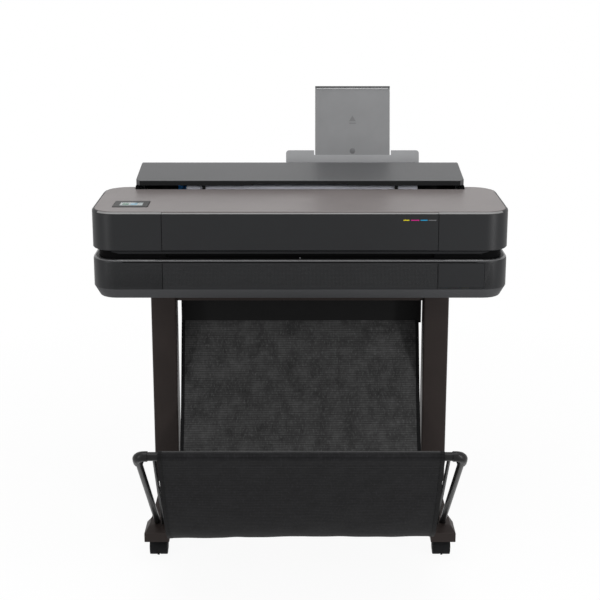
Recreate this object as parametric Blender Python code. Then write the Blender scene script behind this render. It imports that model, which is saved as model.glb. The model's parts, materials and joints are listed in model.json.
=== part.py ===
"""A 24-inch large format plotter on a castered stand with a fabric sling bin.

Frame: metres, +Z up, X to the right, Y to the back, origin on the floor under the middle of the whole
object. A distance "behind" is measured from the front face of the casing, a "height" from the floor.
"""
import math

import bmesh
import bpy
from mathutils import Vector

# Clearances
GAP = 0.0003
RUN = 0.0005
EDGE = 0.002

# Casing: the media width sets the width, and the floor of the casing its heights
MEDIA_WIDTH = 0.610
DOOR_MARGIN = 0.0248
END_MODULE = 0.1732
DOOR_HALF = MEDIA_WIDTH / 2 + DOOR_MARGIN
HALF = DOOR_HALF + END_MODULE
BODY_DEPTH = 0.300
BODY_RADIUS = 0.060
BODY_BOTTOM = 0.650
LOWER_HEIGHT = 0.098
SLOT_HEIGHT = 0.022
UPPER_HEIGHT = 0.096
SLOT_BOTTOM = BODY_BOTTOM + LOWER_HEIGHT
SLOT_TOP = SLOT_BOTTOM + SLOT_HEIGHT
BODY_TOP = SLOT_TOP + UPPER_HEIGHT
WALL = 0.003
CHAMFER_IN = 0.014
CHAMFER_UP = 0.025
BASE_FLANGE_OFFSET = 0.030
BASE_FLANGE = CHAMFER_IN + BASE_FLANGE_OFFSET
SLOT_RECESS = 0.014
LIP_ROUND = 0.006
RIM_CHAMFER = 0.004
RIM_OFFSET = 0.0015
RIM = RIM_CHAMFER + RIM_OFFSET
RIM_DROP = 0.001
DECK_LEDGE_OFFSET = 0.0065
DECK_LEDGE = RIM + DECK_LEDGE_OFFSET
DECK_THICK = 0.0055
DECK_BACK_OFFSET = 0.035
DECK_BACK = BODY_DEPTH - DECK_BACK_OFFSET
CORNER_STEPS = 6
SEAM = 0.0008
SPACER_LAP = 0.012
OUTPUT_HALF_OFFSET = 0.007
OUTPUT_HALF = DOOR_HALF - OUTPUT_HALF_OFFSET
OUTPUT_SILL = 0.003
RIM_TOP = BODY_TOP - RIM_DROP
DECK_SEAT = BODY_TOP - DECK_THICK - GAP

# Doors in the front
DOOR_THICK = 0.003
DOOR_PIVOT_DROP = 0.0045
INK_DOOR_LEFT = DOOR_HALF + EDGE
INK_DOOR_RIGHT = HALF - BODY_RADIUS
INK_DOOR_BOTTOM_OFFSET = 0.003
INK_DOOR_BOTTOM = BODY_BOTTOM + CHAMFER_UP + INK_DOOR_BOTTOM_OFFSET
INK_DOOR_TOP = SLOT_BOTTOM - LIP_ROUND - EDGE
INK_PIVOT_RISE = 0.002

# Touch panel in the deck
TOUCH_CENTRE_X_OFFSET = 0.0915
TOUCH_CENTRE_X = TOUCH_CENTRE_X_OFFSET - HALF
TOUCH_BEHIND = 0.088
TOUCH_WIDTH = 0.085
TOUCH_LENGTH = 0.066
TOUCH_PROUD = 0.0008

# Chassis
BASE_THICK = 0.002
BASE_INSET = 0.031
BASE_TOP = BODY_BOTTOM + WALL + GAP + BASE_THICK
SIDE_PLATE_THICK = 0.002
PLATEN_RIGHT_OFFSET = 0.013
PLATEN_RIGHT = DOOR_HALF + PLATEN_RIGHT_OFFSET
LEFT_PLATE_X = -PLATEN_RIGHT
RIGHT_PLATE_X_OFFSET = 0.0365
RIGHT_PLATE_X = HALF - RIGHT_PLATE_X_OFFSET
PLATE_FRONT = 0.045
PLATE_BACK_OFFSET = 0.045
PLATE_BACK = BODY_DEPTH - PLATE_BACK_OFFSET
PLATE_TOP_OFFSET = 0.0062
PLATE_TOP = DECK_SEAT - PLATE_TOP_OFFSET
INNER_LEFT = LEFT_PLATE_X + SIDE_PLATE_THICK / 2 + GAP
INNER_RIGHT = RIGHT_PLATE_X - SIDE_PLATE_THICK / 2 - GAP

# Paper feed
PLATEN_TOP_OFFSET = 0.0095
PLATEN_TOP = SLOT_BOTTOM + PLATEN_TOP_OFFSET
PLATEN_THICK = 0.006
PLATEN_FRONT = 0.020
FEED_BEHIND_OFFSET = 0.140
FEED_BEHIND = BODY_DEPTH - FEED_BEHIND_OFFSET
FEED_RADIUS = 0.012
FEED_HALF = DOOR_HALF - EDGE
FEED_SHAFT = 0.005
FEED_HEIGHT = PLATEN_TOP - FEED_RADIUS
PINCH_RADIUS = 0.006
PINCH_SHAFT = 0.004
PINCH_COUNT = 6
PINCH_WIDTH = 0.030
PAPER_GAP = 0.0004
PINCH_HEIGHT = PLATEN_TOP + PAPER_GAP + PINCH_RADIUS
FEED_PULLEY = 0.026
FEED_PULLEY_WIDTH = 0.008
MOTOR_PULLEY = 0.008
FEED_DRIVE_X_OFFSET = 0.004
FEED_DRIVE_X = LEFT_PLATE_X - FEED_PULLEY_WIDTH - FEED_DRIVE_X_OFFSET
FEED_MOTOR_HEIGHT_OFFSET = 0.048
FEED_MOTOR_HEIGHT = FEED_HEIGHT - FEED_MOTOR_HEIGHT_OFFSET
FEED_MOTOR_RADIUS = 0.018
FEED_MOTOR_LENGTH = 0.045
BELT_THICK = 0.0015
BELT_WIDTH = 0.006

# Carriage drive
RAIL_BEHIND_OFFSET = 0.050
RAIL_BEHIND = FEED_BEHIND - RAIL_BEHIND_OFFSET
RAIL_HEIGHT_OFFSET = 0.0545
RAIL_HEIGHT = PLATEN_TOP + RAIL_HEIGHT_OFFSET
RAIL_RADIUS = 0.008
CARRIAGE_WIDTH = 0.100
CARRIAGE_X_OFFSET = 0.010
CARRIAGE_X = RIGHT_PLATE_X - CARRIAGE_WIDTH / 2 - CARRIAGE_X_OFFSET
CARRIAGE_FRONT_OFFSET = 0.048
CARRIAGE_FRONT = RAIL_BEHIND - CARRIAGE_FRONT_OFFSET
CARRIAGE_BACK_OFFSET = 0.040
CARRIAGE_BACK = RAIL_BEHIND + CARRIAGE_BACK_OFFSET
CARRIAGE_BOTTOM_OFFSET = 0.0075
CARRIAGE_BOTTOM = PLATEN_TOP + CARRIAGE_BOTTOM_OFFSET
CARRIAGE_TOP_OFFSET = 0.033
CARRIAGE_TOP = RAIL_HEIGHT + CARRIAGE_TOP_OFFSET
CARRIAGE_PULLEY = 0.008
CARRIAGE_BELT_HEIGHT_OFFSET = 0.016
CARRIAGE_BELT_HEIGHT = RAIL_HEIGHT + CARRIAGE_BELT_HEIGHT_OFFSET
CARRIAGE_BELT_BEHIND = CARRIAGE_BACK + BELT_WIDTH / 2 + RUN
CARRIAGE_MOTOR_RADIUS = 0.018
CARRIAGE_MOTOR_LENGTH = 0.050
MOTOR_SHAFT = 0.0025
LUG = 0.006
IDLER_X_OFFSET = 0.012
IDLER_X = INNER_RIGHT - IDLER_X_OFFSET
MOTOR_X = INNER_LEFT + CARRIAGE_MOTOR_RADIUS

# Ink and electronics
INK_COUNT = 4
INK_PITCH = 0.0255
INK_WALL = 0.002
INK_BAY_FRONT = 0.034
INK_BAY_BACK_OFFSET = 0.114
INK_BAY_BACK = INK_BAY_FRONT + INK_BAY_BACK_OFFSET
INK_BAY_TOP_OFFSET = 0.024
INK_BAY_TOP = PLATEN_TOP - INK_BAY_TOP_OFFSET
INK_LEFT_OFFSET = 0.0065
INK_LEFT = DOOR_HALF + INK_LEFT_OFFSET
INK_PROUD = 0.008
STATION_FRONT = CARRIAGE_FRONT
STATION_BACK_OFFSET = 0.068
STATION_BACK = STATION_FRONT + STATION_BACK_OFFSET
STATION_WIDTH_OFFSET = 0.010
STATION_WIDTH = RIGHT_PLATE_X - PLATEN_RIGHT - STATION_WIDTH_OFFSET
BOARD_LEFT_OFFSET = 0.0365
BOARD_LEFT = BOARD_LEFT_OFFSET - HALF
BOARD_RIGHT_OFFSET = 0.020
BOARD_RIGHT = LEFT_PLATE_X - BOARD_RIGHT_OFFSET
BOARD_FRONT = 0.050
BOARD_BACK_OFFSET = 0.020
BOARD_BACK = FEED_BEHIND - BOARD_BACK_OFFSET
BOARD_RISE = 0.008
BOARD_THICK = 0.0016
INLET_X_OFFSET = 0.055
INLET_X = LEFT_PLATE_X - INLET_X_OFFSET
INLET_WIDTH = 0.028
INLET_HEIGHT = 0.022
INLET_BOTTOM_OFFSET = 0.045
INLET_BOTTOM = BODY_BOTTOM + INLET_BOTTOM_OFFSET
INLET_DEPTH = 0.024

# Media roll
ROLL_RADIUS = 0.050
HUB_RADIUS_OFFSET = 0.004
HUB_RADIUS = ROLL_RADIUS + HUB_RADIUS_OFFSET
HUB_THICK = 0.014
SPINDLE_RADIUS = 0.010
CORE_RADIUS = 0.0254
PLUG_LENGTH = 0.030
BAY_WALL = 0.004
BAY_HALF_OFFSET = 0.085
BAY_HALF = HALF - BAY_HALF_OFFSET
ROLL_BEHIND_OFFSET = 0.008
ROLL_BEHIND = BODY_DEPTH + BAY_WALL + HUB_RADIUS + ROLL_BEHIND_OFFSET
ROLL_HEIGHT_OFFSET = 0.046
ROLL_HEIGHT = BODY_TOP - ROLL_HEIGHT_OFFSET
BAY_BACK_OFFSET = 0.012
BAY_BACK = ROLL_BEHIND + HUB_RADIUS + BAY_WALL + BAY_BACK_OFFSET
BAY_BOTTOM_OFFSET = 0.036
BAY_BOTTOM = ROLL_HEIGHT - HUB_RADIUS - BAY_BOTTOM_OFFSET
BAY_REAR_TOP = BODY_TOP
BAY_FRONT_TOP_OFFSET = 0.020
BAY_FRONT_TOP = ROLL_HEIGHT - BAY_FRONT_TOP_OFFSET
EAR_HALF = 0.004

# Roll cover
HOOD_HALF_OFFSET = 0.0043
HOOD_HALF = BAY_HALF + HOOD_HALF_OFFSET
HOOD_WALL = 0.003
HOOD_CHAMFER = 0.010
HOOD_EDGE = 0.0008
HOOD_FRONT_OFFSET = 0.003
HOOD_FRONT = DECK_BACK - HOOD_FRONT_OFFSET
HOOD_BACK_OFFSET = 0.004
HOOD_BACK = BAY_BACK + HOOD_BACK_OFFSET
HOOD_LIP_BOTTOM_OFFSET = 0.010
HOOD_LIP_BOTTOM = BODY_TOP + HOOD_LIP_BOTTOM_OFFSET
HOOD_LIP_TOP_OFFSET = 0.013
HOOD_LIP_TOP = HOOD_LIP_BOTTOM + HOOD_LIP_TOP_OFFSET
HOOD_RIDGE_OFFSET = 0.019
HOOD_RIDGE = HOOD_LIP_TOP + HOOD_RIDGE_OFFSET
HOOD_RIDGE_BEHIND_OFFSET = 0.040
HOOD_RIDGE_BEHIND = HOOD_BACK - HOOD_RIDGE_BEHIND_OFFSET
HOOD_REAR_BOTTOM_OFFSET = 0.006
HOOD_REAR_BOTTOM = BAY_REAR_TOP + HOOD_REAR_BOTTOM_OFFSET
HOOD_GRIP_HALF = 0.121
HOOD_GRIP = 0.004
HOOD_PIVOT_BEHIND_OFFSET = 0.006
HOOD_PIVOT_BEHIND = HOOD_BACK - HOOD_CHAMFER - HOOD_PIVOT_BEHIND_OFFSET
HOOD_PIVOT_HEIGHT_OFFSET = 0.016
HOOD_PIVOT_HEIGHT = HOOD_RIDGE - HOOD_PIVOT_HEIGHT_OFFSET
HOOD_PIN = 0.0035
HOOD_FALL = 0.001

# Sheet feeder
FEEDER_X_OFFSET = 0.1865
FEEDER_X = DOOR_HALF - FEEDER_X_OFFSET
FEEDER_HALF = 0.1933
FEEDER_SIDE = 0.009
FEEDER_TOP_OFFSET = 0.002
FEEDER_TOP = BAY_REAR_TOP + FEEDER_TOP_OFFSET
FEEDER_BOTTOM_OFFSET = 0.093
FEEDER_BOTTOM = FEEDER_TOP - FEEDER_BOTTOM_OFFSET
FEEDER_BACK_OFFSET = 0.060
FEEDER_BACK = BAY_BACK + FEEDER_BACK_OFFSET
FEEDER_TILT = math.radians(12)
TRAY_BEHIND_OFFSET = 0.029
TRAY_BEHIND = BAY_BACK + TRAY_BEHIND_OFFSET
TRAY_TOP_OFFSET = 0.0615
TRAY_TOP = FEEDER_TOP + TRAY_TOP_OFFSET
TRAY_BOTTOM_OFFSET = 0.007
TRAY_BOTTOM = FEEDER_BOTTOM + TRAY_BOTTOM_OFFSET
TRAY_HALF_OFFSET = 0.003
TRAY_HALF = FEEDER_HALF - FEEDER_SIDE - TRAY_HALF_OFFSET
TRAY_THICK = 0.003
TRAY_RADIUS = 0.008
SHEET_GAP = 0.006
RAIL_LIP = 0.006
RAIL_WALL = 0.003
EXTENDER_HALF = 0.1018
EXTENDER_THICK = 0.0045
EXTENDER_TOP_OFFSET = 0.171
EXTENDER_TOP = TRAY_TOP + EXTENDER_TOP_OFFSET
EXTENDER_LENGTH = 0.205
EXTENDER_LIP = 0.004
NOTCH_DEPTH = 0.013
NOTCH_SIDE = 0.003
RAIL_DEPTH = TRAY_THICK + EXTENDER_THICK + RAIL_WALL + 2 * GAP

# Casters
CASTER_TRAIL = 0.010
WHEEL_RADIUS = 0.022
WHEEL_WIDTH = 0.0185
WHEEL_SPREAD = 0.043
WHEEL_SEGMENTS = 24
WHEEL_ROUND = 0.001
WHEEL_AXLE = WHEEL_RADIUS * math.cos(math.pi / WHEEL_SEGMENTS)
AXLE_RADIUS = 0.004
STEM_RADIUS = 0.005
STEM_DEPTH = 0.015
CAP_THICK = 0.004

# Stand
LEG_X_OFFSET = 0.1517
LEG_X = HALF - LEG_X_OFFSET
LEG_WIDTH = 0.064
LEG_FRONT_OFFSET = 0.110
LEG_FRONT = BODY_DEPTH - LEG_FRONT_OFFSET
LEG_DEPTH = 0.060
LEG_ROUND = 0.005
LEG_WALL = 0.002
HEAD_FRONT_OFFSET = 0.060
HEAD_FRONT = LEG_FRONT - HEAD_FRONT_OFFSET
HEAD_BACK_OFFSET = 0.012
HEAD_BACK = LEG_FRONT + LEG_DEPTH + HEAD_BACK_OFFSET
HEAD_WIDTH_OFFSET = 0.046
HEAD_WIDTH = LEG_WIDTH + HEAD_WIDTH_OFFSET
HEAD_THICK = 0.0045
BRACE_TOP_OFFSET = 0.015
BRACE_TOP = BODY_BOTTOM - BRACE_TOP_OFFSET
BRACE_HEIGHT = 0.050
BRACE_DEPTH = 0.030
FOOT_FRONT = -0.082
FOOT_BACK_OFFSET = 0.222
FOOT_BACK = BODY_DEPTH + FOOT_BACK_OFFSET
FOOT_BOTTOM_OFFSET = 0.0095
FOOT_BOTTOM = 2 * WHEEL_RADIUS + FOOT_BOTTOM_OFFSET
FOOT_STEP_OFFSET = 0.0235
FOOT_STEP = FOOT_BOTTOM + FOOT_STEP_OFFSET
FOOT_TOP_OFFSET = 0.011
FOOT_TOP = FOOT_STEP + FOOT_TOP_OFFSET
SHOE_HALF = 0.0305
FOOT_HALF = 0.020
SHOE_LENGTH = 0.062
SHOE_SLOPE = 0.026
SHOE_TAPER = 0.022
CASTER_INSET = 0.037
CASTER_FRONT = FOOT_FRONT + CASTER_INSET
CASTER_BACK = FOOT_BACK - CASTER_INSET

# Bin
BAR_BEHIND_OFFSET = 0.295
BAR_BEHIND = FOOT_FRONT - BAR_BEHIND_OFFSET
BAR_HEIGHT = 0.411
BAR_RADIUS = 0.0097
ELBOW_X_OFFSET = 0.0015
ELBOW_X = LEG_X + ELBOW_X_OFFSET
ELBOW_RADIUS = 0.0115
ELBOW_BEND = 0.016
ELBOW_LENGTH = 0.034
BAR_HALF_OFFSET = 0.023
BAR_HALF = ELBOW_X - BAR_HALF_OFFSET
ARM_RADIUS = 0.0075
SOCKET_BEHIND_OFFSET = 0.042
SOCKET_BEHIND = FOOT_FRONT + SOCKET_BEHIND_OFFSET
SOCKET_DEPTH = 0.014
CLOTH_X = 0.0035
CLOTH_HALF_OFFSET = 0.0048
CLOTH_HALF = LEG_X - LEG_WIDTH / 2 - CLOTH_HALF_OFFSET
STRIP_BEHIND_OFFSET = 0.0055
STRIP_BEHIND = HEAD_BACK + STRIP_BEHIND_OFFSET
STRIP_THICK = 0.0025
STRIP_HALF_OFFSET = 0.0015
STRIP_HALF = CLOTH_HALF + STRIP_HALF_OFFSET
CLOTH_THICK = 0.0016
CLOTH_TOP_OFFSET = 0.145
CLOTH_TOP = BODY_BOTTOM - CLOTH_TOP_OFFSET
STAY_RADIUS = 0.004
STAY_TOP_X_OFFSET = 0.005
STAY_TOP_X = CLOTH_HALF + STAY_TOP_X_OFFSET
STAY_FOOT_X_OFFSET = 0.013
STAY_FOOT_X = LEG_X - STAY_FOOT_X_OFFSET
STAY_FOOT_BEHIND_OFFSET = 0.035
STAY_FOOT_BEHIND = FOOT_FRONT + STAY_FOOT_BEHIND_OFFSET
STAY_DEPTH = 0.008
CLOTH_BACK_BEHIND_OFFSET = 0.1365
CLOTH_BACK_BEHIND = STRIP_BEHIND - CLOTH_BACK_BEHIND_OFFSET
CLOTH_BACK_HEIGHT = 0.202
CLOTH_FLOOR_BEHIND_OFFSET = 0.022
CLOTH_FLOOR_BEHIND = FOOT_FRONT + CLOTH_FLOOR_BEHIND_OFFSET
CLOTH_FLOOR_HEIGHT = 0.112
CLOTH_FOLD_BEHIND_OFFSET = 0.141
CLOTH_FOLD_BEHIND = BAR_BEHIND + CLOTH_FOLD_BEHIND_OFFSET
CLOTH_FOLD_HEIGHT = 0.150
CLOTH_STATIONS = 17
CLOTH_STEPS = 26
FOLD_COUNT = 4
FOLD_DEPTH = 0.004

# The front of the casing lies so that the whole box is centred on the origin
FRONT_REACH = -BAR_BEHIND + BAR_RADIUS + GAP + CLOTH_THICK
FRONT_Y = (FRONT_REACH - FOOT_BACK) / 2
SMOOTH = math.radians(40)


def behind(distance):
    """Y of a place at a distance behind the front face of the casing."""
    return FRONT_Y + distance


# Finishes: colour, roughness, metallic
FINISHES = {
    "charcoal_plastic": ((0.030, 0.030, 0.031), 0.55, 0.0),
    "black_plastic": ((0.008, 0.008, 0.009), 0.5, 0.0),
    "taupe_plastic": ((0.283, 0.253, 0.245), 0.45, 0.0),
    "grey_plastic": ((0.190, 0.190, 0.195), 0.5, 0.0),
    "pale_plastic": ((0.300, 0.300, 0.305), 0.5, 0.0),
    "screen_glass": ((0.010, 0.010, 0.012), 0.1, 0.0),
    "steel": ((0.45, 0.45, 0.46), 0.35, 1.0),
    "brown_metal": ((0.024, 0.019, 0.018), 0.45, 0.0),
    "rubber": ((0.012, 0.012, 0.012), 0.8, 0.0),
    "blue_plastic": ((0.010, 0.045, 0.30), 0.4, 0.0),
    "paper": ((0.80, 0.80, 0.84), 0.8, 0.0),
    "green_board": ((0.02, 0.16, 0.06), 0.5, 0.0),
    "cyan_ink": ((0.0, 0.30, 0.60), 0.4, 0.0),
    "magenta_ink": ((0.55, 0.02, 0.25), 0.4, 0.0),
    "yellow_ink": ((0.75, 0.60, 0.02), 0.4, 0.0),
    "black_ink": ((0.02, 0.02, 0.02), 0.4, 0.0),
    "bin_fabric": ((0.024, 0.024, 0.025), 0.9, 0.0),
    "tube_paint": ((0.030, 0.030, 0.032), 0.35, 0.0),
}


def clear_scene():
    """Remove every object of the open scene."""
    for obj in list(bpy.data.objects):
        bpy.data.objects.remove(obj, do_unlink=True)


def material(name):
    """The finish of that name as a Principled material."""
    found = bpy.data.materials.get(name)
    if found:
        return found
    colour, roughness, metallic = FINISHES[name]
    made = bpy.data.materials.new(name)
    made.use_nodes = True
    shader = made.node_tree.nodes["Principled BSDF"]
    shader.inputs["Base Color"].default_value = (*colour, 1.0)
    shader.inputs["Roughness"].default_value = roughness
    shader.inputs["Metallic"].default_value = metallic
    made.diffuse_color = (*colour, 1.0)
    return made


def add(name, bm, finish, origin=(0, 0, 0), smooth=False):
    """Make an object of a closed mesh, with its origin at a joint's axis where it moves."""
    bmesh.ops.recalc_face_normals(bm, faces=bm.faces)
    bmesh.ops.translate(bm, verts=bm.verts, vec=-Vector(origin))
    mesh = bpy.data.meshes.new(name)
    bm.to_mesh(mesh)
    bm.free()
    mesh.materials.append(material(finish))
    obj = bpy.data.objects.new(name, mesh)
    obj.location = origin
    bpy.context.scene.collection.objects.link(obj)
    if smooth:
        mesh.shade_smooth()
        mesh.set_sharp_from_angle(angle=SMOOTH)
    return obj


def boolean(target, bm, operation="DIFFERENCE"):
    """Cut a closed mesh out of an object, or join it on."""
    tool = add(f"{target.name}_tool", bm, "black_plastic")
    tool.hide_render = True
    tool.display_type = "WIRE"
    modifier = target.modifiers.new(operation.lower(), "BOOLEAN")
    modifier.operation = operation
    modifier.solver = "EXACT"
    modifier.object = tool


def loft(loops, ring=False):
    """Closed mesh through loops of points; ring joins the last loop to the first."""
    bm = bmesh.new()
    rows = [[bm.verts.new(point) for point in loop] for loop in loops]
    count = len(rows[0])
    pairs = list(zip(rows, rows[1:]))
    if ring:
        pairs.append((rows[-1], rows[0]))
    else:
        bm.faces.new(rows[0])
        bm.faces.new(rows[-1])
    for low, high in pairs:
        for i in range(count):
            bm.faces.new((low[i - 1], low[i], high[i], high[i - 1]))
    bmesh.ops.recalc_face_normals(bm, faces=bm.faces)
    return bm


def on_axis(axis, along, u, v):
    """A point from its place along an axis and its two other coordinates in XYZ order."""
    return {"X": (along, u, v), "Y": (u, along, v), "Z": (u, v, along)}[axis]


def prism(outline, axis, start, end):
    """An outline of two coordinates, pushed along the third axis."""
    return loft([[on_axis(axis, along, u, v) for u, v in outline] for along in (start, end)])


def block(low, high):
    """A box between two corners."""
    (x0, y0, z0), (x1, y1, z1) = low, high
    return prism([(x0, y0), (x1, y0), (x1, y1), (x0, y1)], "Z", z0, z1)


def arc(centre, radius, start, end, steps):
    """Points on an arc, with angles in degrees."""
    turns = [math.radians(start + (end - start) * i / steps) for i in range(steps + 1)]
    return [(centre[0] + radius * math.cos(t), centre[1] + radius * math.sin(t)) for t in turns]


def rounded(u0, u1, v0, v1, radius, steps=CORNER_STEPS):
    """A rectangle with round corners."""
    corners = ((u1 - radius, v0 + radius, -90), (u1 - radius, v1 - radius, 0),
               (u0 + radius, v1 - radius, 90), (u0 + radius, v0 + radius, 180))
    points = []
    for u, v, start in corners:
        points += arc((u, v), radius, start, start + 90, steps)
    return points


def casing_ring(profile):
    """The casing's plan outline swept through a closed profile of (inset, height) points."""
    loops = []
    for inset, height in profile:
        outline = rounded(inset - HALF, HALF - inset, behind(inset), behind(BODY_DEPTH - inset),
                          BODY_RADIUS - inset)
        loops.append([(x, y, height) for x, y in outline])
    return loft(loops, ring=True)


def turned(profile, axis, centre, segments=24, bore=False):
    """A shape turned round an axis from (radius, place along the axis) points."""
    loops = []
    for radius, along in profile:
        turns = [math.tau * (i + 0.5) / segments for i in range(segments)]
        loops.append([on_axis(axis, along, centre[0] + radius * math.cos(t), centre[1] + radius * math.sin(t))
                      for t in turns])
    return loft(loops, ring=bore)


def disc(radius, axis, centre, start, end, bore=0.0, segments=24):
    """A cylinder, or a ring where it has a bore."""
    if bore:
        profile = [(bore, start), (radius, start), (radius, end), (bore, end)]
        return turned(profile, axis, centre, segments, bore=True)
    return turned([(radius, start), (radius, end)], axis, centre, segments)


def tube(path, radii, segments=12):
    """A round tube along a path, with a radius at each point."""
    points = [Vector(p) for p in path]
    heading = (points[1] - points[0]).normalized()
    side = heading.orthogonal().normalized()
    loops = []
    for i, (point, radius) in enumerate(zip(points, radii)):
        before = points[max(i - 1, 0)]
        after = points[min(i + 1, len(points) - 1)]
        heading = (after - before).normalized()
        side = (side - heading * side.dot(heading)).normalized()
        other = heading.cross(side)
        turns = [math.tau * k / segments for k in range(segments)]
        loops.append([point + side * radius * math.cos(t) + other * radius * math.sin(t) for t in turns])
    return loft(loops)


def belt_loop(centre_a, centre_b, radius_a, radius_b, steps=10):
    """Outline of a belt's inner face round two pulleys, with its corners just outside their rims."""
    a = Vector(centre_a)
    b = Vector(centre_b)
    facing = math.degrees(math.atan2(b[1] - a[1], b[0] - a[0]))
    lean = math.degrees(math.acos((radius_a - radius_b) / (b - a).length))
    swell_a = math.cos(math.radians(180 - lean) / steps)
    swell_b = math.cos(math.radians(lean) / steps)
    return arc(a, radius_a / swell_a, facing + lean, facing + 360 - lean, steps) + arc(
        b, radius_b / swell_b, facing - lean, facing + lean, steps)


def belt(centre_a, centre_b, radius_a, radius_b, axis, start, width):
    """A closed belt round two pulleys."""
    inner = belt_loop(centre_a, centre_b, radius_a + GAP, radius_b + GAP)
    outer = belt_loop(centre_a, centre_b, radius_a + GAP + BELT_THICK, radius_b + GAP + BELT_THICK)
    loops = []
    for outline, along in ((inner, start), (outer, start), (outer, start + width), (inner, start + width)):
        loops.append([on_axis(axis, along, u, v) for u, v in outline])
    return loft(loops, ring=True)


def casing():
    """The two halves of the casing, the spacer between them, the deck and the touch panel."""
    wall_foot = BODY_BOTTOM + CHAMFER_UP
    lip = arc((LIP_ROUND, SLOT_BOTTOM - LIP_ROUND), LIP_ROUND, 180, 90, 3)
    profile = [(0, wall_foot), *lip, (SLOT_RECESS, SLOT_BOTTOM), (SLOT_RECESS, SLOT_BOTTOM - WALL),
               (LIP_ROUND, SLOT_BOTTOM - WALL), (WALL, SLOT_BOTTOM - LIP_ROUND), (WALL, wall_foot),
               (CHAMFER_IN, BODY_BOTTOM + WALL), (BASE_FLANGE, BODY_BOTTOM + WALL), (BASE_FLANGE,
                                                                                     BODY_BOTTOM),
               (CHAMFER_IN, BODY_BOTTOM)]
    lower = add("lower_casing", casing_ring(profile), "charcoal_plastic", smooth=True)
    boolean(lower, block((INK_DOOR_LEFT, behind(-WALL), INK_DOOR_BOTTOM),
                         (INK_DOOR_RIGHT, behind(2 * WALL), INK_DOOR_TOP)))
    boolean(lower, block((-DOOR_HALF - SEAM / 2, behind(-WALL), wall_foot),
                         (-DOOR_HALF + SEAM / 2, behind(SEAM), SLOT_BOTTOM - LIP_ROUND)))
    boolean(lower, block((INLET_X - INLET_WIDTH / 2 - GAP, behind(BODY_DEPTH - 2 * WALL), INLET_BOTTOM - GAP),
                         (INLET_X + INLET_WIDTH / 2 + GAP, behind(BODY_DEPTH + WALL),
                          INLET_BOTTOM + INLET_HEIGHT + GAP)))

    profile = [(EDGE, SLOT_TOP), (0, SLOT_TOP + EDGE), (0, RIM_TOP - RIM_CHAMFER), (RIM_CHAMFER, RIM_TOP),
               (RIM, RIM_TOP), (RIM, DECK_SEAT), (DECK_LEDGE, DECK_SEAT), (DECK_LEDGE, DECK_SEAT - WALL),
               (WALL, DECK_SEAT - WALL), (WALL, SLOT_TOP + WALL), (SLOT_RECESS, SLOT_TOP + WALL),
               (SLOT_RECESS, SLOT_TOP)]
    upper = add("upper_casing", casing_ring(profile), "charcoal_plastic", smooth=True)
    boolean(upper, block((-DOOR_HALF, behind(-WALL), SLOT_TOP - WALL),
                         (DOOR_HALF, behind(WALL + RUN), BODY_TOP + WALL)))
    boolean(upper, block((-DOOR_HALF, behind(-WALL), DECK_SEAT - 2 * WALL),
                         (DOOR_HALF, behind(RIM + GAP / 2), BODY_TOP + WALL)))
    boolean(upper, block((-HOOD_HALF - EDGE, behind(DECK_BACK), SLOT_TOP - WALL),
                         (HOOD_HALF + EDGE, behind(BODY_DEPTH + WALL), BODY_TOP + WALL)))

    inner = SLOT_RECESS + GAP
    low = SLOT_BOTTOM - SPACER_LAP
    high = SLOT_TOP + SPACER_LAP
    spacer = add("slot_spacer", casing_ring([(inner, low), (inner, high), (inner + WALL, high),
                                             (inner + WALL, low)]), "black_plastic", smooth=True)
    boolean(spacer, block((-OUTPUT_HALF, behind(0), SLOT_BOTTOM + OUTPUT_SILL),
                          (OUTPUT_HALF, behind(inner + 2 * WALL), SLOT_TOP)))
    boolean(spacer, block((-OUTPUT_HALF, behind(BODY_DEPTH - inner - 2 * WALL), PLATEN_TOP - OUTPUT_SILL),
                          (OUTPUT_HALF, behind(BODY_DEPTH), high + WALL)))

    inset = RIM + GAP
    outline = rounded(inset - HALF, HALF - inset, behind(inset), behind(BODY_DEPTH - inset),
                      BODY_RADIUS - inset)
    deck = add("top_deck", prism(outline, "Z", DECK_SEAT + GAP, BODY_TOP), "taupe_plastic")
    boolean(deck, block((-HOOD_HALF - EDGE, behind(DECK_BACK), BODY_BOTTOM),
                        (HOOD_HALF + EDGE, behind(BODY_DEPTH), BODY_TOP + WALL)))
    left = TOUCH_CENTRE_X - TOUCH_WIDTH / 2
    right = TOUCH_CENTRE_X + TOUCH_WIDTH / 2
    front = behind(TOUCH_BEHIND - TOUCH_LENGTH / 2)
    back = behind(TOUCH_BEHIND + TOUCH_LENGTH / 2)
    boolean(deck, block((left - GAP, front - GAP, BODY_BOTTOM), (right + GAP, back + GAP, BODY_TOP + WALL)))
    add("touch_panel", block((left, front, DECK_SEAT + GAP), (right, back, BODY_TOP + TOUCH_PROUD)),
        "screen_glass")


def doors():
    """The front access door, which lifts, and the ink door, which drops."""
    low = SLOT_TOP + RUN
    outline = [(behind(EDGE), low), (behind(0), low + EDGE), (behind(0), RIM_TOP - RIM_CHAMFER),
               (behind(DOOR_THICK), RIM_TOP - RIM_CHAMFER + DOOR_THICK), (behind(DOOR_THICK), low)]
    add("front_door", prism(outline, "X", -DOOR_HALF + RUN, DOOR_HALF - RUN), "charcoal_plastic",
        origin=(0, behind(DOOR_THICK / 2), RIM_TOP - DOOR_PIVOT_DROP))
    pivot = INK_DOOR_BOTTOM + INK_PIVOT_RISE
    add("ink_door", block((INK_DOOR_LEFT + RUN, behind(0), pivot - INK_PIVOT_RISE / 2),
                          (INK_DOOR_RIGHT - RUN, behind(DOOR_THICK), INK_DOOR_TOP - RUN)),
        "charcoal_plastic", origin=((INK_DOOR_LEFT + INK_DOOR_RIGHT) / 2, behind(DOOR_THICK / 2), pivot))


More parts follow.
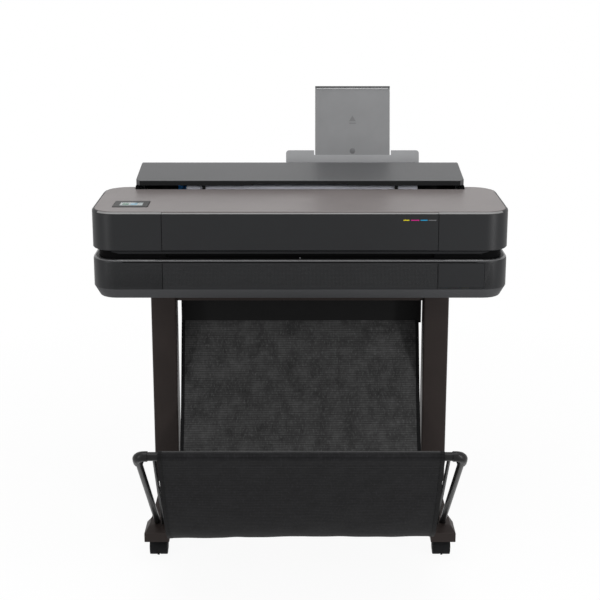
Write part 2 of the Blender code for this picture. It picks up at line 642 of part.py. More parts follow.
def chassis():
    """The base plate, the two side plates and the platen."""
    outline = rounded(BASE_INSET - HALF, HALF - BASE_INSET, behind(BASE_INSET),
                      behind(BODY_DEPTH - BASE_INSET),
                      BODY_RADIUS - BASE_INSET)
    add("base_plate", prism(outline, "Z", BASE_TOP - BASE_THICK, BASE_TOP), "steel")
    plates = []
    for name, x in (("left_side_plate", LEFT_PLATE_X), ("right_side_plate", RIGHT_PLATE_X)):
        plates.append(add(name, block((x - SIDE_PLATE_THICK / 2, behind(PLATE_FRONT), BASE_TOP + GAP),
                                      (x + SIDE_PLATE_THICK / 2, behind(PLATE_BACK), PLATE_TOP)), "steel"))
    boolean(plates[0], disc(FEED_SHAFT + GAP, "X", (behind(FEED_BEHIND), FEED_HEIGHT),
                            LEFT_PLATE_X - SIDE_PLATE_THICK, LEFT_PLATE_X + SIDE_PLATE_THICK))
    lug_front = CARRIAGE_BELT_BEHIND + BELT_WIDTH / 2 + LUG
    boolean(plates[1], block((IDLER_X - LUG, behind(lug_front + GAP), CARRIAGE_BELT_HEIGHT - LUG),
                             (RIGHT_PLATE_X, behind(lug_front + GAP + LUG), CARRIAGE_BELT_HEIGHT + LUG)),
                             "UNION")
    add("platen", block((INNER_LEFT, behind(PLATEN_FRONT), PLATEN_TOP - PLATEN_THICK),
                        (PLATEN_RIGHT, behind(FEED_BEHIND - FEED_RADIUS - EDGE), PLATEN_TOP)),
                        "black_plastic")


def paper_feed():
    """The feed roller with its belt drive and the pinch rollers over it."""
    centre = (behind(FEED_BEHIND), FEED_HEIGHT)
    shaft_end = FEED_DRIVE_X - FEED_PULLEY_WIDTH
    add("feed_roller", turned([(FEED_SHAFT, shaft_end), (FEED_SHAFT, -FEED_HALF), (FEED_RADIUS, -FEED_HALF),
                               (FEED_RADIUS, FEED_HALF), (FEED_SHAFT, FEED_HALF), (FEED_SHAFT, INNER_RIGHT)],
                              "X", centre), "rubber", origin=(0, *centre), smooth=True)
    start = FEED_DRIVE_X - FEED_PULLEY_WIDTH / 2
    end = FEED_DRIVE_X + FEED_PULLEY_WIDTH / 2
    add("feed_pulley", disc(FEED_PULLEY, "X", centre, start, end, FEED_SHAFT + GAP), "black_plastic",
        origin=(0, *centre), smooth=True)
    motor = (behind(FEED_BEHIND), FEED_MOTOR_HEIGHT)
    add("motor_pulley", disc(MOTOR_PULLEY, "X", motor, start, end, MOTOR_SHAFT + GAP, 16), "steel",
        origin=(FEED_DRIVE_X, *motor), smooth=True)
    add("feed_belt", belt(centre, motor, FEED_PULLEY, MOTOR_PULLEY, "X", FEED_DRIVE_X - BELT_WIDTH / 2,
                          BELT_WIDTH),
        "rubber", smooth=True)
    face = start - RUN
    body = add("feed_motor", turned([(FEED_MOTOR_RADIUS, face - FEED_MOTOR_LENGTH), (FEED_MOTOR_RADIUS, face),
                                     (MOTOR_SHAFT, face), (MOTOR_SHAFT, end)], "X", motor), "steel",
                                     smooth=True)
    middle = face - FEED_MOTOR_LENGTH / 2
    boolean(body, block((middle - LUG, motor[0] - 2 * LUG, BASE_TOP + GAP),
                        (middle + LUG, motor[0] + 2 * LUG, FEED_MOTOR_HEIGHT)), "UNION")

    profile = [(PINCH_SHAFT, INNER_LEFT)]
    pitch = 2 * FEED_HALF / PINCH_COUNT
    for i in range(PINCH_COUNT):
        middle = -FEED_HALF + pitch * (i + 0.5)
        left = middle - PINCH_WIDTH / 2
        right = middle + PINCH_WIDTH / 2
        profile += [(PINCH_SHAFT, left), (PINCH_RADIUS, left), (PINCH_RADIUS, right), (PINCH_SHAFT, right)]
    profile.append((PINCH_SHAFT, INNER_RIGHT))
    pinch = (behind(FEED_BEHIND), PINCH_HEIGHT)
    add("pinch_roller", turned(profile, "X", pinch, 12), "rubber", origin=(0, *pinch), smooth=True)


def carriage_drive():
    """The print carriage on its rail, with its belt, pulleys, motor and service station."""
    rail = (behind(RAIL_BEHIND), RAIL_HEIGHT)
    add("carriage_rail", disc(RAIL_RADIUS, "X", rail, INNER_LEFT, INNER_RIGHT), "steel", smooth=True)
    front = behind(CARRIAGE_FRONT)
    back = behind(CARRIAGE_BACK)
    foot = CARRIAGE_BOTTOM + 4 * EDGE
    outline = [(front, foot), (front + 4 * EDGE, CARRIAGE_BOTTOM), (rail[0], CARRIAGE_BOTTOM),
               (rail[0] + EDGE, foot),
               (back, foot), (back, CARRIAGE_TOP), (front + 4 * EDGE, CARRIAGE_TOP), (front,
                                                                                      CARRIAGE_TOP - 4 * EDGE)]
    left = CARRIAGE_X - CARRIAGE_WIDTH / 2
    right = CARRIAGE_X + CARRIAGE_WIDTH / 2
    carriage = add("carriage", prism(outline, "X", left, right), "black_plastic", origin=(CARRIAGE_X, *rail))
    boolean(carriage, disc(RAIL_RADIUS + GAP, "X", rail, left - EDGE, right + EDGE))

    start = behind(CARRIAGE_BELT_BEHIND - BELT_WIDTH / 2)
    end = start + BELT_WIDTH
    drive = (MOTOR_X, CARRIAGE_BELT_HEIGHT)
    idler = (IDLER_X, CARRIAGE_BELT_HEIGHT)
    add("carriage_belt", belt(drive, idler, CARRIAGE_PULLEY, CARRIAGE_PULLEY, "Y", start, BELT_WIDTH),
        "rubber",
        smooth=True)
    add("drive_pulley", disc(CARRIAGE_PULLEY, "Y", drive, start, end, MOTOR_SHAFT + GAP, 16), "steel",
        origin=(MOTOR_X, start, CARRIAGE_BELT_HEIGHT), smooth=True)
    add("idler_pulley", turned([(CARRIAGE_PULLEY, start), (CARRIAGE_PULLEY, end), (MOTOR_SHAFT, end),
                                (MOTOR_SHAFT, end + LUG)], "Y", idler, 16), "steel",
        origin=(IDLER_X, start, CARRIAGE_BELT_HEIGHT), smooth=True)
    face = end + RUN
    add("carriage_motor", turned([(MOTOR_SHAFT, start + RUN), (MOTOR_SHAFT, face), (CARRIAGE_MOTOR_RADIUS,
                                                                                    face),
                                  (CARRIAGE_MOTOR_RADIUS, face + CARRIAGE_MOTOR_LENGTH)], "Y", drive),
                                  "steel",
        smooth=True)
    add("service_station", block((PLATEN_RIGHT + GAP, behind(STATION_FRONT), INK_BAY_TOP + GAP),
                                 (PLATEN_RIGHT + GAP + STATION_WIDTH, behind(STATION_BACK), PLATEN_TOP)),
        "grey_plastic")


def ink_and_power():
    """The ink bay with its cartridges, the control board and the power inlet."""
    bay_bottom = BASE_TOP + GAP
    bay = add("ink_bay", block((INK_LEFT, behind(INK_BAY_FRONT), bay_bottom),
                               (INK_LEFT + INK_COUNT * INK_PITCH + INK_WALL, behind(INK_BAY_BACK),
                                INK_BAY_TOP)),
              "black_plastic")
    inks = ("cyan_ink", "magenta_ink", "yellow_ink", "black_ink")
    for i in range(INK_COUNT):
        low = Vector((INK_LEFT + INK_WALL + i * INK_PITCH, behind(INK_BAY_FRONT - INK_PROUD),
                      bay_bottom + INK_WALL))
        high = Vector((INK_LEFT + (i + 1) * INK_PITCH, behind(INK_BAY_BACK) - INK_WALL,
                       INK_BAY_TOP - INK_WALL))
        boolean(bay, block(low, high))
        inward = Vector((GAP, 0, GAP))
        ink = inks[i % len(inks)]
        add(f"{ink}_cartridge_{i + 1}", block(low + inward, high - inward - Vector((0, GAP, 0))), ink)

    top = BASE_TOP + BOARD_RISE
    rib = BOARD_THICK * 2
    outline = [(BOARD_LEFT, BASE_TOP + GAP), (BOARD_LEFT + rib, BASE_TOP + GAP), (BOARD_LEFT + rib,
                                                                                  top - BOARD_THICK),
               (BOARD_RIGHT - rib, top - BOARD_THICK), (BOARD_RIGHT - rib, BASE_TOP + GAP),
               (BOARD_RIGHT, BASE_TOP + GAP), (BOARD_RIGHT, top), (BOARD_LEFT, top)]
    add("control_board", prism(outline, "Y", behind(BOARD_FRONT), behind(BOARD_BACK)), "green_board")

    left = INLET_X - INLET_WIDTH / 2
    right = INLET_X + INLET_WIDTH / 2
    back = behind(BODY_DEPTH)
    inlet = add("power_inlet", block((left, back - INLET_DEPTH, INLET_BOTTOM),
                                     (right, back, INLET_BOTTOM + INLET_HEIGHT)), "black_plastic")
    boolean(inlet, block((left + WALL, back - INLET_DEPTH + WALL, INLET_BOTTOM + WALL),
                         (right - WALL, back + WALL, INLET_BOTTOM + INLET_HEIGHT - WALL)))


def media_roll():
    """The roll bay behind the casing, and the spindle with its hubs and the paper roll."""
    front = behind(BODY_DEPTH) + GAP
    back = behind(BAY_BACK)
    inside = BAY_HALF - BAY_WALL
    above = BAY_REAR_TOP + HUB_RADIUS
    bay = add("roll_bay", block((-BAY_HALF, front, BAY_BOTTOM), (BAY_HALF, back, BAY_REAR_TOP)),
              "charcoal_plastic")
    boolean(bay, block((-inside, front + BAY_WALL, BAY_BOTTOM + BAY_WALL), (inside, back - BAY_WALL, above)))
    boolean(bay, block((-inside, front - BAY_WALL, BAY_FRONT_TOP), (inside, front + 2 * BAY_WALL, above)))
    centre = (behind(ROLL_BEHIND), ROLL_HEIGHT)
    seat = SPINDLE_RADIUS + GAP
    slot = arc(centre, seat, 180, 360, 10) + [(centre[0] + seat, above), (centre[0] - seat, above)]
    boolean(bay, prism(slot, "X", -BAY_HALF - BAY_WALL, BAY_HALF + BAY_WALL))
    pivot = (behind(HOOD_PIVOT_BEHIND), HOOD_PIVOT_HEIGHT)
    for side in (-1, 1):
        x = sorted((side * inside, side * BAY_HALF))
        boolean(bay, block((x[0], pivot[0] - EAR_HALF, BAY_REAR_TOP - EAR_HALF),
                           (x[1], pivot[0] + EAR_HALF, pivot[1] + EAR_HALF)), "UNION")
        x = sorted((side * (BAY_HALF - EDGE), side * (HOOD_HALF - RUN)))
        boolean(bay, disc(HOOD_PIN, "X", pivot, x[0], x[1], segments=12), "UNION")

    face = MEDIA_WIDTH / 2 + GAP
    plug = MEDIA_WIDTH / 2 - PLUG_LENGTH
    end = BAY_HALF - RUN
    add("spindle", turned([(SPINDLE_RADIUS, -end), (SPINDLE_RADIUS, plug), (CORE_RADIUS, plug), (CORE_RADIUS,
                                                                                                 face),
                           (HUB_RADIUS, face), (HUB_RADIUS, face + HUB_THICK), (SPINDLE_RADIUS,
                                                                                face + HUB_THICK),
                           (SPINDLE_RADIUS, end)], "X", centre), "black_plastic", origin=(0, *centre),
                           smooth=True)
    bore = SPINDLE_RADIUS + GAP
    add("left_hub", turned([(bore, -face - HUB_THICK), (HUB_RADIUS, -face - HUB_THICK), (HUB_RADIUS, -face),
                            (CORE_RADIUS, -face), (CORE_RADIUS, -plug), (bore, -plug)], "X", centre,
                            bore=True),
        "blue_plastic", origin=(0, *centre), smooth=True)
    add("paper_roll", disc(ROLL_RADIUS, "X", centre, -MEDIA_WIDTH / 2, MEDIA_WIDTH / 2, CORE_RADIUS + GAP,
                           40), "paper",
        origin=(0, *centre), smooth=True)


def roll_cover():
    """The hood over the roll, with its corners cut off, which swings up about pins near its rear edge."""
    front = behind(HOOD_FRONT)
    back = behind(HOOD_BACK)
    ridge = behind(HOOD_RIDGE_BEHIND)
    pivot = (behind(HOOD_PIVOT_BEHIND), HOOD_PIVOT_HEIGHT)
    round_off = 2 * HOOD_WALL
    shoulder = (HOOD_RIDGE + HOOD_PIVOT_HEIGHT) / 2
    below = BAY_REAR_TOP - HOOD_WALL
    inside = HOOD_HALF - HOOD_WALL

    def section(inset, front_bottom, rear_bottom):
        """Outline of the hood from the side, drawn in by an inset."""
        return [(front + inset, front_bottom), (front + inset, HOOD_LIP_TOP - HOOD_EDGE - inset),
                (front + HOOD_EDGE + inset, HOOD_LIP_TOP - inset), (ridge, HOOD_RIDGE - inset),
                (pivot[0] - round_off, HOOD_RIDGE - HOOD_FALL - inset),
                (back - round_off - inset, shoulder - inset),
                (back - inset, HOOD_PIVOT_HEIGHT - inset), (back - inset, rear_bottom)]

    x, cut = HOOD_HALF + EDGE, HOOD_CHAMFER + EDGE
    hood = add("roll_cover", prism(section(0, HOOD_LIP_BOTTOM, HOOD_REAR_BOTTOM), "X", -HOOD_HALF, HOOD_HALF),
               "grey_plastic", origin=(0, *pivot))
    for side in (-1, 1):
        for y, way in ((front - EDGE, 1), (back + EDGE, -1)):
            corner = [(side * x, y), (side * x, y + way * (cut + EDGE)), (side * (x - cut - EDGE), y)]
            boolean(hood, prism(corner, "Z", below, HOOD_RIDGE + EDGE))
    trim = HOOD_CHAMFER - HOOD_WALL * (2 - math.sqrt(2))
    boolean(hood, prism(section(HOOD_WALL, below, below), "X", trim - inside, inside - trim))
    near = front + HOOD_WALL + trim
    far = back - HOOD_WALL - trim
    ends = [(near, below), (near, HOOD_LIP_TOP - round_off), (ridge, HOOD_RIDGE - HOOD_WALL),
            (pivot[0] - round_off, HOOD_RIDGE - HOOD_FALL - HOOD_WALL), (far, shoulder - HOOD_WALL), (far,
                                                                                                      below)]
    boolean(hood, prism(ends, "X", -inside, inside))
    boolean(hood, block((-HOOD_GRIP_HALF, front - EDGE, below),
                        (HOOD_GRIP_HALF, front + HOOD_WALL + EDGE, HOOD_LIP_BOTTOM + HOOD_GRIP)))
    boolean(hood, disc(HOOD_PIN + GAP, "X", pivot, -HOOD_HALF - EDGE, HOOD_HALF + EDGE, segments=12))
    notch = BAY_HALF - BAY_WALL - EDGE
    for side in (-1, 1):
        x = sorted((side * notch, side * inside))
        boolean(hood, block((x[0], pivot[0] + EAR_HALF + RUN, below), (x[1], back + EDGE,
                                                                       pivot[1] + EAR_HALF + EDGE)))


def on_tray(x, up, deep):
    """A point on the tilted sheet tray: along it from the feeder's top, and behind its front face."""
    rise = math.cos(FEEDER_TILT)
    lean = math.sin(FEEDER_TILT)
    return (x, behind(TRAY_BEHIND) + up * lean + deep * rise, FEEDER_TOP + up * rise - deep * lean)


def tray_place(height):
    """How far up the tray a height lies."""
    return (height - FEEDER_TOP) / math.cos(FEEDER_TILT)


def tray_prism(outline, start, end):
    """An outline of (x, up) points, pushed from one depth behind the tray's face to another."""
    return loft([[on_tray(x, up, deep) for x, up in outline] for deep in (start, end)])


def sheet_feeder():
    """The feeder behind the roll bay: its base, the tilted tray and the extender that slides in it."""
    base = add("feeder_base", block((FEEDER_X - FEEDER_HALF, behind(BAY_BACK + GAP), FEEDER_BOTTOM),
                                    (FEEDER_X + FEEDER_HALF, behind(FEEDER_BACK), FEEDER_TOP)),
                                    "charcoal_plastic")
    low = tray_place(FEEDER_BOTTOM - RAIL_DEPTH)
    high = tray_place(FEEDER_TOP + RAIL_DEPTH)
    inside = FEEDER_HALF - FEEDER_SIDE
    mouth = [(FEEDER_X - inside, low), (FEEDER_X + inside, low), (FEEDER_X + inside, high),
             (FEEDER_X - inside, high)]
    boolean(base, tray_prism(mouth, -SHEET_GAP, RAIL_DEPTH + GAP))

    low = tray_place(TRAY_BOTTOM)
    high = tray_place(TRAY_TOP)
    notch = EXTENDER_HALF + NOTCH_SIDE
    corner = TRAY_RADIUS
    right = arc((FEEDER_X + TRAY_HALF - corner, high - corner), corner, 0, 90, 4)
    left = arc((FEEDER_X - TRAY_HALF + corner, high - corner), corner, 90, 180, 4)
    outline = [(FEEDER_X - TRAY_HALF, low), (FEEDER_X + TRAY_HALF, low), *right, (FEEDER_X + notch, high),
               (FEEDER_X + notch, high - NOTCH_DEPTH), (FEEDER_X - notch, high - NOTCH_DEPTH),
               (FEEDER_X - notch, high), *left]
    tray = add("sheet_tray", tray_prism(outline, 0, TRAY_THICK), "pale_plastic")
    rail_top = high - 2 * NOTCH_DEPTH
    for side in (-1, 1):
        edge = EXTENDER_HALF + GAP
        outer = edge + RAIL_WALL
        hook = EXTENDER_HALF - RAIL_LIP
        lip = RAIL_DEPTH - RAIL_WALL
        section = [(edge, TRAY_THICK / 2), (outer, TRAY_THICK / 2), (outer, RAIL_DEPTH), (hook, RAIL_DEPTH),
                   (hook, lip), (edge, lip)]
        loops = [[on_tray(FEEDER_X + side * x, up, deep) for x, deep in section] for up in (low + EDGE,
                                                                                            rail_top)]
        boolean(tray, loft(loops), "UNION")

    top = tray_place(EXTENDER_TOP)
    face = TRAY_THICK + GAP
    rear = face + EXTENDER_THICK
    section = [(top - EXTENDER_LENGTH, face), (top - EXTENDER_LIP, face), (top - EXTENDER_LIP,
                                                                           face - EXTENDER_LIP),
               (top, face - EXTENDER_LIP), (top, rear), (top - EXTENDER_LENGTH, rear)]
    loops = [[on_tray(FEEDER_X + x, up, deep) for up, deep in section] for x in (-EXTENDER_HALF,
                                                                                 EXTENDER_HALF)]
    add("tray_extender", loft(loops), "grey_plastic", origin=on_tray(FEEDER_X, top - EXTENDER_LENGTH, face))


def arm_line():
    """Start and unit direction of a bin arm, from the bar down to its socket, in Y and Z."""
    start = Vector((0, behind(BAR_BEHIND), BAR_HEIGHT))
    run = Vector((0, behind(SOCKET_BEHIND), FOOT_TOP)) - start
    return start, run.normalized(), run.length


def stay_line(side):
    """Ends of a bin stay's axis, from the bar's axis to the top of the foot."""
    top = Vector((CLOTH_X + side * STAY_TOP_X, behind(BAR_BEHIND), BAR_HEIGHT))
    foot = Vector((side * STAY_FOOT_X, behind(STAY_FOOT_BEHIND), FOOT_TOP))
    return top, foot


def stand():
    """Two legs on long feet, held by a brace, each with a head plate welded on."""
    for name, side in (("left", -1), ("right", 1)):
        x0 = side * LEG_X - LEG_WIDTH / 2
        x1 = side * LEG_X + LEG_WIDTH / 2
        y0 = behind(LEG_FRONT)
        y1 = y0 + LEG_DEPTH
        head = BODY_BOTTOM - GAP - HEAD_THICK
        outer = rounded(x0, x1, y0, y1, LEG_ROUND, 2)
        inner = rounded(x0 + LEG_WALL, x1 - LEG_WALL, y0 + LEG_WALL, y1 - LEG_WALL, LEG_ROUND - LEG_WALL, 2)
        low = FOOT_TOP + GAP
        high = head + HEAD_THICK / 2
        loops = [[(x, y, z) for x, y in outline]
                 for outline, z in ((outer, low), (outer, high), (inner, high), (inner, low))]
        leg = add(f"{name}_leg", loft(loops, ring=True), "brown_metal", smooth=True)
        boolean(leg, block((side * LEG_X - HEAD_WIDTH / 2, behind(HEAD_FRONT), head),
                           (side * LEG_X + HEAD_WIDTH / 2, behind(HEAD_BACK), head + HEAD_THICK)), "UNION")
        foot(name, side)

    reach = LEG_X - LEG_WIDTH / 2 - GAP
    middle = behind(LEG_FRONT + LEG_DEPTH / 2)
    front = middle - BRACE_DEPTH / 2
    back = middle + BRACE_DEPTH / 2
    low = BRACE_TOP - BRACE_HEIGHT
    channel = [(front, low), (back, low), (back, low + LEG_WALL), (front + LEG_WALL, low + LEG_WALL),
               (front + LEG_WALL, BRACE_TOP - LEG_WALL), (back, BRACE_TOP - LEG_WALL), (back, BRACE_TOP),
               (front, BRACE_TOP)]
    add("cross_brace", prism(channel, "X", -reach, reach), "brown_metal")


def foot(name, side):
    """A long foot with a wide shoe at each end, bored for the casters and the bin's tubes."""
    front = behind(FOOT_FRONT)
    back = behind(FOOT_BACK)
    stations = [(front, SHOE_HALF, SHOE_HALF - EDGE, FOOT_STEP + RUN),
                (front + SHOE_SLOPE, SHOE_HALF, FOOT_HALF, FOOT_TOP),
                (front + SHOE_LENGTH, SHOE_HALF, FOOT_HALF, FOOT_TOP),
                (front + SHOE_LENGTH + SHOE_TAPER, FOOT_HALF, FOOT_HALF - EDGE, FOOT_TOP),
                (back - SHOE_LENGTH - SHOE_TAPER, FOOT_HALF, FOOT_HALF - EDGE, FOOT_TOP),
                (back - SHOE_LENGTH, SHOE_HALF, FOOT_HALF, FOOT_TOP),
                (back - SHOE_SLOPE, SHOE_HALF, FOOT_HALF, FOOT_TOP),
                (back, SHOE_HALF, SHOE_HALF - EDGE, FOOT_STEP + RUN)]
    x = side * LEG_X
    loops = []
    for y, wide, narrow, top in stations:
        loops.append([(x - wide, y, FOOT_BOTTOM), (x + wide, y, FOOT_BOTTOM), (x + wide, y, FOOT_STEP),
                      (x + narrow, y, top), (x - narrow, y, top), (x - wide, y, FOOT_STEP)])
    made = add(f"{name}_foot", loft(loops), "brown_metal")
    for place in (CASTER_FRONT, CASTER_BACK):
        boolean(made, disc(STEM_RADIUS + GAP, "Z", (x, behind(place)), FOOT_BOTTOM - STEM_DEPTH,
                           FOOT_BOTTOM + STEM_DEPTH + RUN, segments=16))
    start, run, length = arm_line()
    start.x = side * ELBOW_X
    boolean(made, tube([start + run * (length - 2 * SOCKET_DEPTH),
                        start + run * (length + SOCKET_DEPTH + RUN)],
                       [ARM_RADIUS + GAP] * 2))
    top, end = stay_line(side)
    along = (end - top).normalized()
    boolean(made, tube([end - along * 2 * STAY_DEPTH, end + along * (STAY_DEPTH + RUN)],
                       [STAY_RADIUS + GAP] * 2, 10))


def casters():
    """Four twin-wheel casters: a fork that swivels on its stem and a pair of wheels on its axle."""
    half = WHEEL_SPREAD / 2
    inner = half - WHEEL_WIDTH
    soft = WHEEL_RADIUS - WHEEL_ROUND
    for name, side, place in (("front_left", -1, CASTER_FRONT), ("front_right", 1, CASTER_FRONT),
                              ("rear_left", -1, CASTER_BACK), ("rear_right", 1, CASTER_BACK)):
        x = side * LEG_X
        y = behind(place)
        axle = (y + CASTER_TRAIL, WHEEL_AXLE)
        profile = []
        for low, high in ((-half, -inner), (inner, half)):
            profile += [(soft, x + low), (WHEEL_RADIUS, x + low + WHEEL_ROUND),
                        (WHEEL_RADIUS, x + high - WHEEL_ROUND), (soft, x + high)]
        profile[4:4] = [(AXLE_RADIUS, x - inner), (AXLE_RADIUS, x + inner)]
        add(f"{name}_wheels", turned(profile, "X", axle, WHEEL_SEGMENTS), "rubber", origin=(x, *axle),
            smooth=True)
        top = FOOT_BOTTOM - RUN
        cap = top - CAP_THICK
        web = inner - GAP
        below = CAP_THICK
        tee = [(x - web, below), (x + web, below), (x + web, cap), (x + half, cap), (x + half, top),
               (x - half, top), (x - half, cap), (x - web, cap)]
        reach = WHEEL_RADIUS - CAP_THICK
        fork = add(f"{name}_fork", prism(tee, "Y", axle[0] - reach, axle[0] + reach), "black_plastic",
                   origin=(x, y, FOOT_BOTTOM))
        boolean(fork, disc(STEM_RADIUS, "Z", (x, y), cap + RUN, FOOT_BOTTOM + STEM_DEPTH, segments=16),
                "UNION")
        boolean(fork, disc(AXLE_RADIUS + GAP, "X", axle, x - half, x + half, segments=16))


def bin_frame():
    """The bin's front bar, its two arms with their elbows, the stays and the stiff top strip."""
    bar = (behind(BAR_BEHIND), BAR_HEIGHT)
    add("bin_bar", disc(BAR_RADIUS, "X", bar, -BAR_HALF, BAR_HALF, segments=16), "tube_paint", smooth=True)
    start, run, length = arm_line()
    for name, side in (("left", -1), ("right", 1)):
        across = Vector((side, 0, 0))
        corner = start + across * ELBOW_X
        centre = corner - across * ELBOW_BEND + run * ELBOW_BEND
        path = [start + across * (BAR_HALF + GAP)]
        for i in range(7):
            turn = math.radians(15 * i)
            path.append(centre - run * ELBOW_BEND * math.cos(turn) + across * ELBOW_BEND * math.sin(turn))
        radii = [ELBOW_RADIUS] * len(path)
        path += [corner + run * ELBOW_LENGTH, corner + run * (ELBOW_LENGTH + EDGE),
                 corner + run * (length + SOCKET_DEPTH)]
        radii += [ELBOW_RADIUS, ARM_RADIUS, ARM_RADIUS]
        add(f"bin_{name}_arm", tube(path, radii), "tube_paint", smooth=True)
        top, end = stay_line(side)
        along = (end - top).normalized()
        add(f"bin_{name}_stay", tube([top + along * (BAR_RADIUS + 2 * RUN), end + along * STAY_DEPTH],
                                     [STAY_RADIUS] * 2, 10), "tube_paint", smooth=True)
    face = behind(STRIP_BEHIND)
    add("bin_strip", block((CLOTH_X - STRIP_HALF, face - STRIP_THICK / 2, CLOTH_TOP + GAP),
                           (CLOTH_X + STRIP_HALF, face + STRIP_THICK / 2, BODY_BOTTOM - GAP)),
                           "black_plastic")


def smooth_curve(knots, steps):
    """Points on a smooth curve through knots in Y and Z."""
    points = [Vector(k) for k in knots]
    padded = [2 * points[0] - points[1], *points, 2 * points[-1] - points[-2]]
    spans = len(points) - 1
    curve = []
    for i in range(steps + 1):
        place = min(i * spans / steps, spans - 1e-9)
        k = int(place)
        t = place - k
        a, b, c, d = padded[k:k + 4]
        curve.append(0.5 * (2 * b + (c - a) * t + (2 * a - 5 * b + 4 * c - d) * t ** 2
                            + (3 * b - a - 3 * c + d) * t ** 3))
    return curve


def bin_cloth():
    """The sling: a sleeve round the bar, a front panel, a sagging floor and a panel up to the strip."""
    bar = Vector((behind(BAR_BEHIND), BAR_HEIGHT))
    wrap = BAR_RADIUS + GAP + CLOTH_THICK / 2
    hem = [Vector(p) for p in arc(bar, wrap, -50, 205, 10)]
    knots = [hem[-1], (behind(CLOTH_FOLD_BEHIND), CLOTH_FOLD_HEIGHT),
             (behind(CLOTH_FLOOR_BEHIND), CLOTH_FLOOR_HEIGHT), (behind(CLOTH_BACK_BEHIND), CLOTH_BACK_HEIGHT),
             (behind(STRIP_BEHIND), CLOTH_TOP - CLOTH_THICK / 2)]
    free = smooth_curve(knots, CLOTH_STEPS)
    path = hem + free[1:]
    normals = []
    for i, point in enumerate(path):
        along = (path[min(i + 1, len(path) - 1)] - path[max(i - 1, 0)]).normalized()
        normals.append(Vector((-along.y, along.x)))
    loops = []
    for k in range(CLOTH_STATIONS):
        share = k / (CLOTH_STATIONS - 1)
        x = CLOTH_X + CLOTH_HALF * (2 * share - 1)
        wave = FOLD_DEPTH * math.sin(math.tau * FOLD_COUNT * share)
        inner = []
        outer = []
        for i, (point, normal) in enumerate(zip(path, normals)):
            slack = math.sin(math.pi * max(i - len(hem) + 1, 0) / CLOTH_STEPS) ** 2
            middle = point + normal * wave * slack
            inner.append((x, *(middle + normal * CLOTH_THICK / 2)))
            outer.append((x, *(middle - normal * CLOTH_THICK / 2)))
        loops.append(inner + outer[::-1])
    add("bin_cloth", loft(loops), "bin_fabric", smooth=True)


def main():
    """Build every piece of the plotter."""
    clear_scene()
    casing()
    doors()
    chassis()
    paper_feed()
    carriage_drive()
    ink_and_power()
    media_roll()
    roll_cover()
    sheet_feeder()
    stand()
    casters()
    bin_frame()
    bin_cloth()


main()
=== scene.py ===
"""Looks of a large format plotter on a castered stand: finishes, soft edges, the fabric bin and trim.

Metres, +Z up, X to the right, Y to the back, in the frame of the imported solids.
"""
import json
import logging
import math
from dataclasses import dataclass
from enum import Enum

import bpy
from mathutils import Matrix, Vector, noise

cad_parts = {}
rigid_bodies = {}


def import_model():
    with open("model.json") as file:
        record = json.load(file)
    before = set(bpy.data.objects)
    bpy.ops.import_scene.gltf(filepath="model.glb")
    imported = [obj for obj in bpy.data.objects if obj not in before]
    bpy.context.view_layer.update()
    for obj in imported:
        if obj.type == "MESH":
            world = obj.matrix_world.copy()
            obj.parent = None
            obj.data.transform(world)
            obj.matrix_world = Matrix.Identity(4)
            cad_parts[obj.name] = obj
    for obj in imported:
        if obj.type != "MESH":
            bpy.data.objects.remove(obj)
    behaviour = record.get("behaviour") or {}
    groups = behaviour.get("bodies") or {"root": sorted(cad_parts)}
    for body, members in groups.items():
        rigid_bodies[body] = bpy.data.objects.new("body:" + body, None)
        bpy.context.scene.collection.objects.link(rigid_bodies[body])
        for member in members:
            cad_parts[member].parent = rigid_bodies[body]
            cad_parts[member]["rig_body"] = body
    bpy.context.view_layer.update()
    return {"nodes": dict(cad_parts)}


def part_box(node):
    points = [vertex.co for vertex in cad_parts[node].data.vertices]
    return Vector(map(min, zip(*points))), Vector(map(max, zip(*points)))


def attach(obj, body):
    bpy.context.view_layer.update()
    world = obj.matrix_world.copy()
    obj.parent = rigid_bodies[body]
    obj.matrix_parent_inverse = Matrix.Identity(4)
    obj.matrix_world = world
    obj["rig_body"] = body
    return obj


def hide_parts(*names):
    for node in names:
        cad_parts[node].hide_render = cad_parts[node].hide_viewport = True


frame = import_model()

MERGE = 1e-5
FLAT = math.radians(0.5)
SMOOTH = math.radians(35)
LOG = logging.getLogger("plotter")

Colour = tuple[float, float, float]
Point = tuple[float, float, float]


class Body(Enum):
    """The moving bodies that pieces ride on."""

    PLOTTER = "plotter"
    FRONT_DOOR = "front_door"
    INK_DOOR = "ink_door"
    ROLL_COVER = "roll_cover"
    EXTENDER = "tray_extender"
    CARRIAGE = "carriage"
    MEDIA_ROLL = "media_roll"


class Side(Enum):
    """Left and right, as the sign of X."""

    LEFT = -1
    RIGHT = 1


# Materials

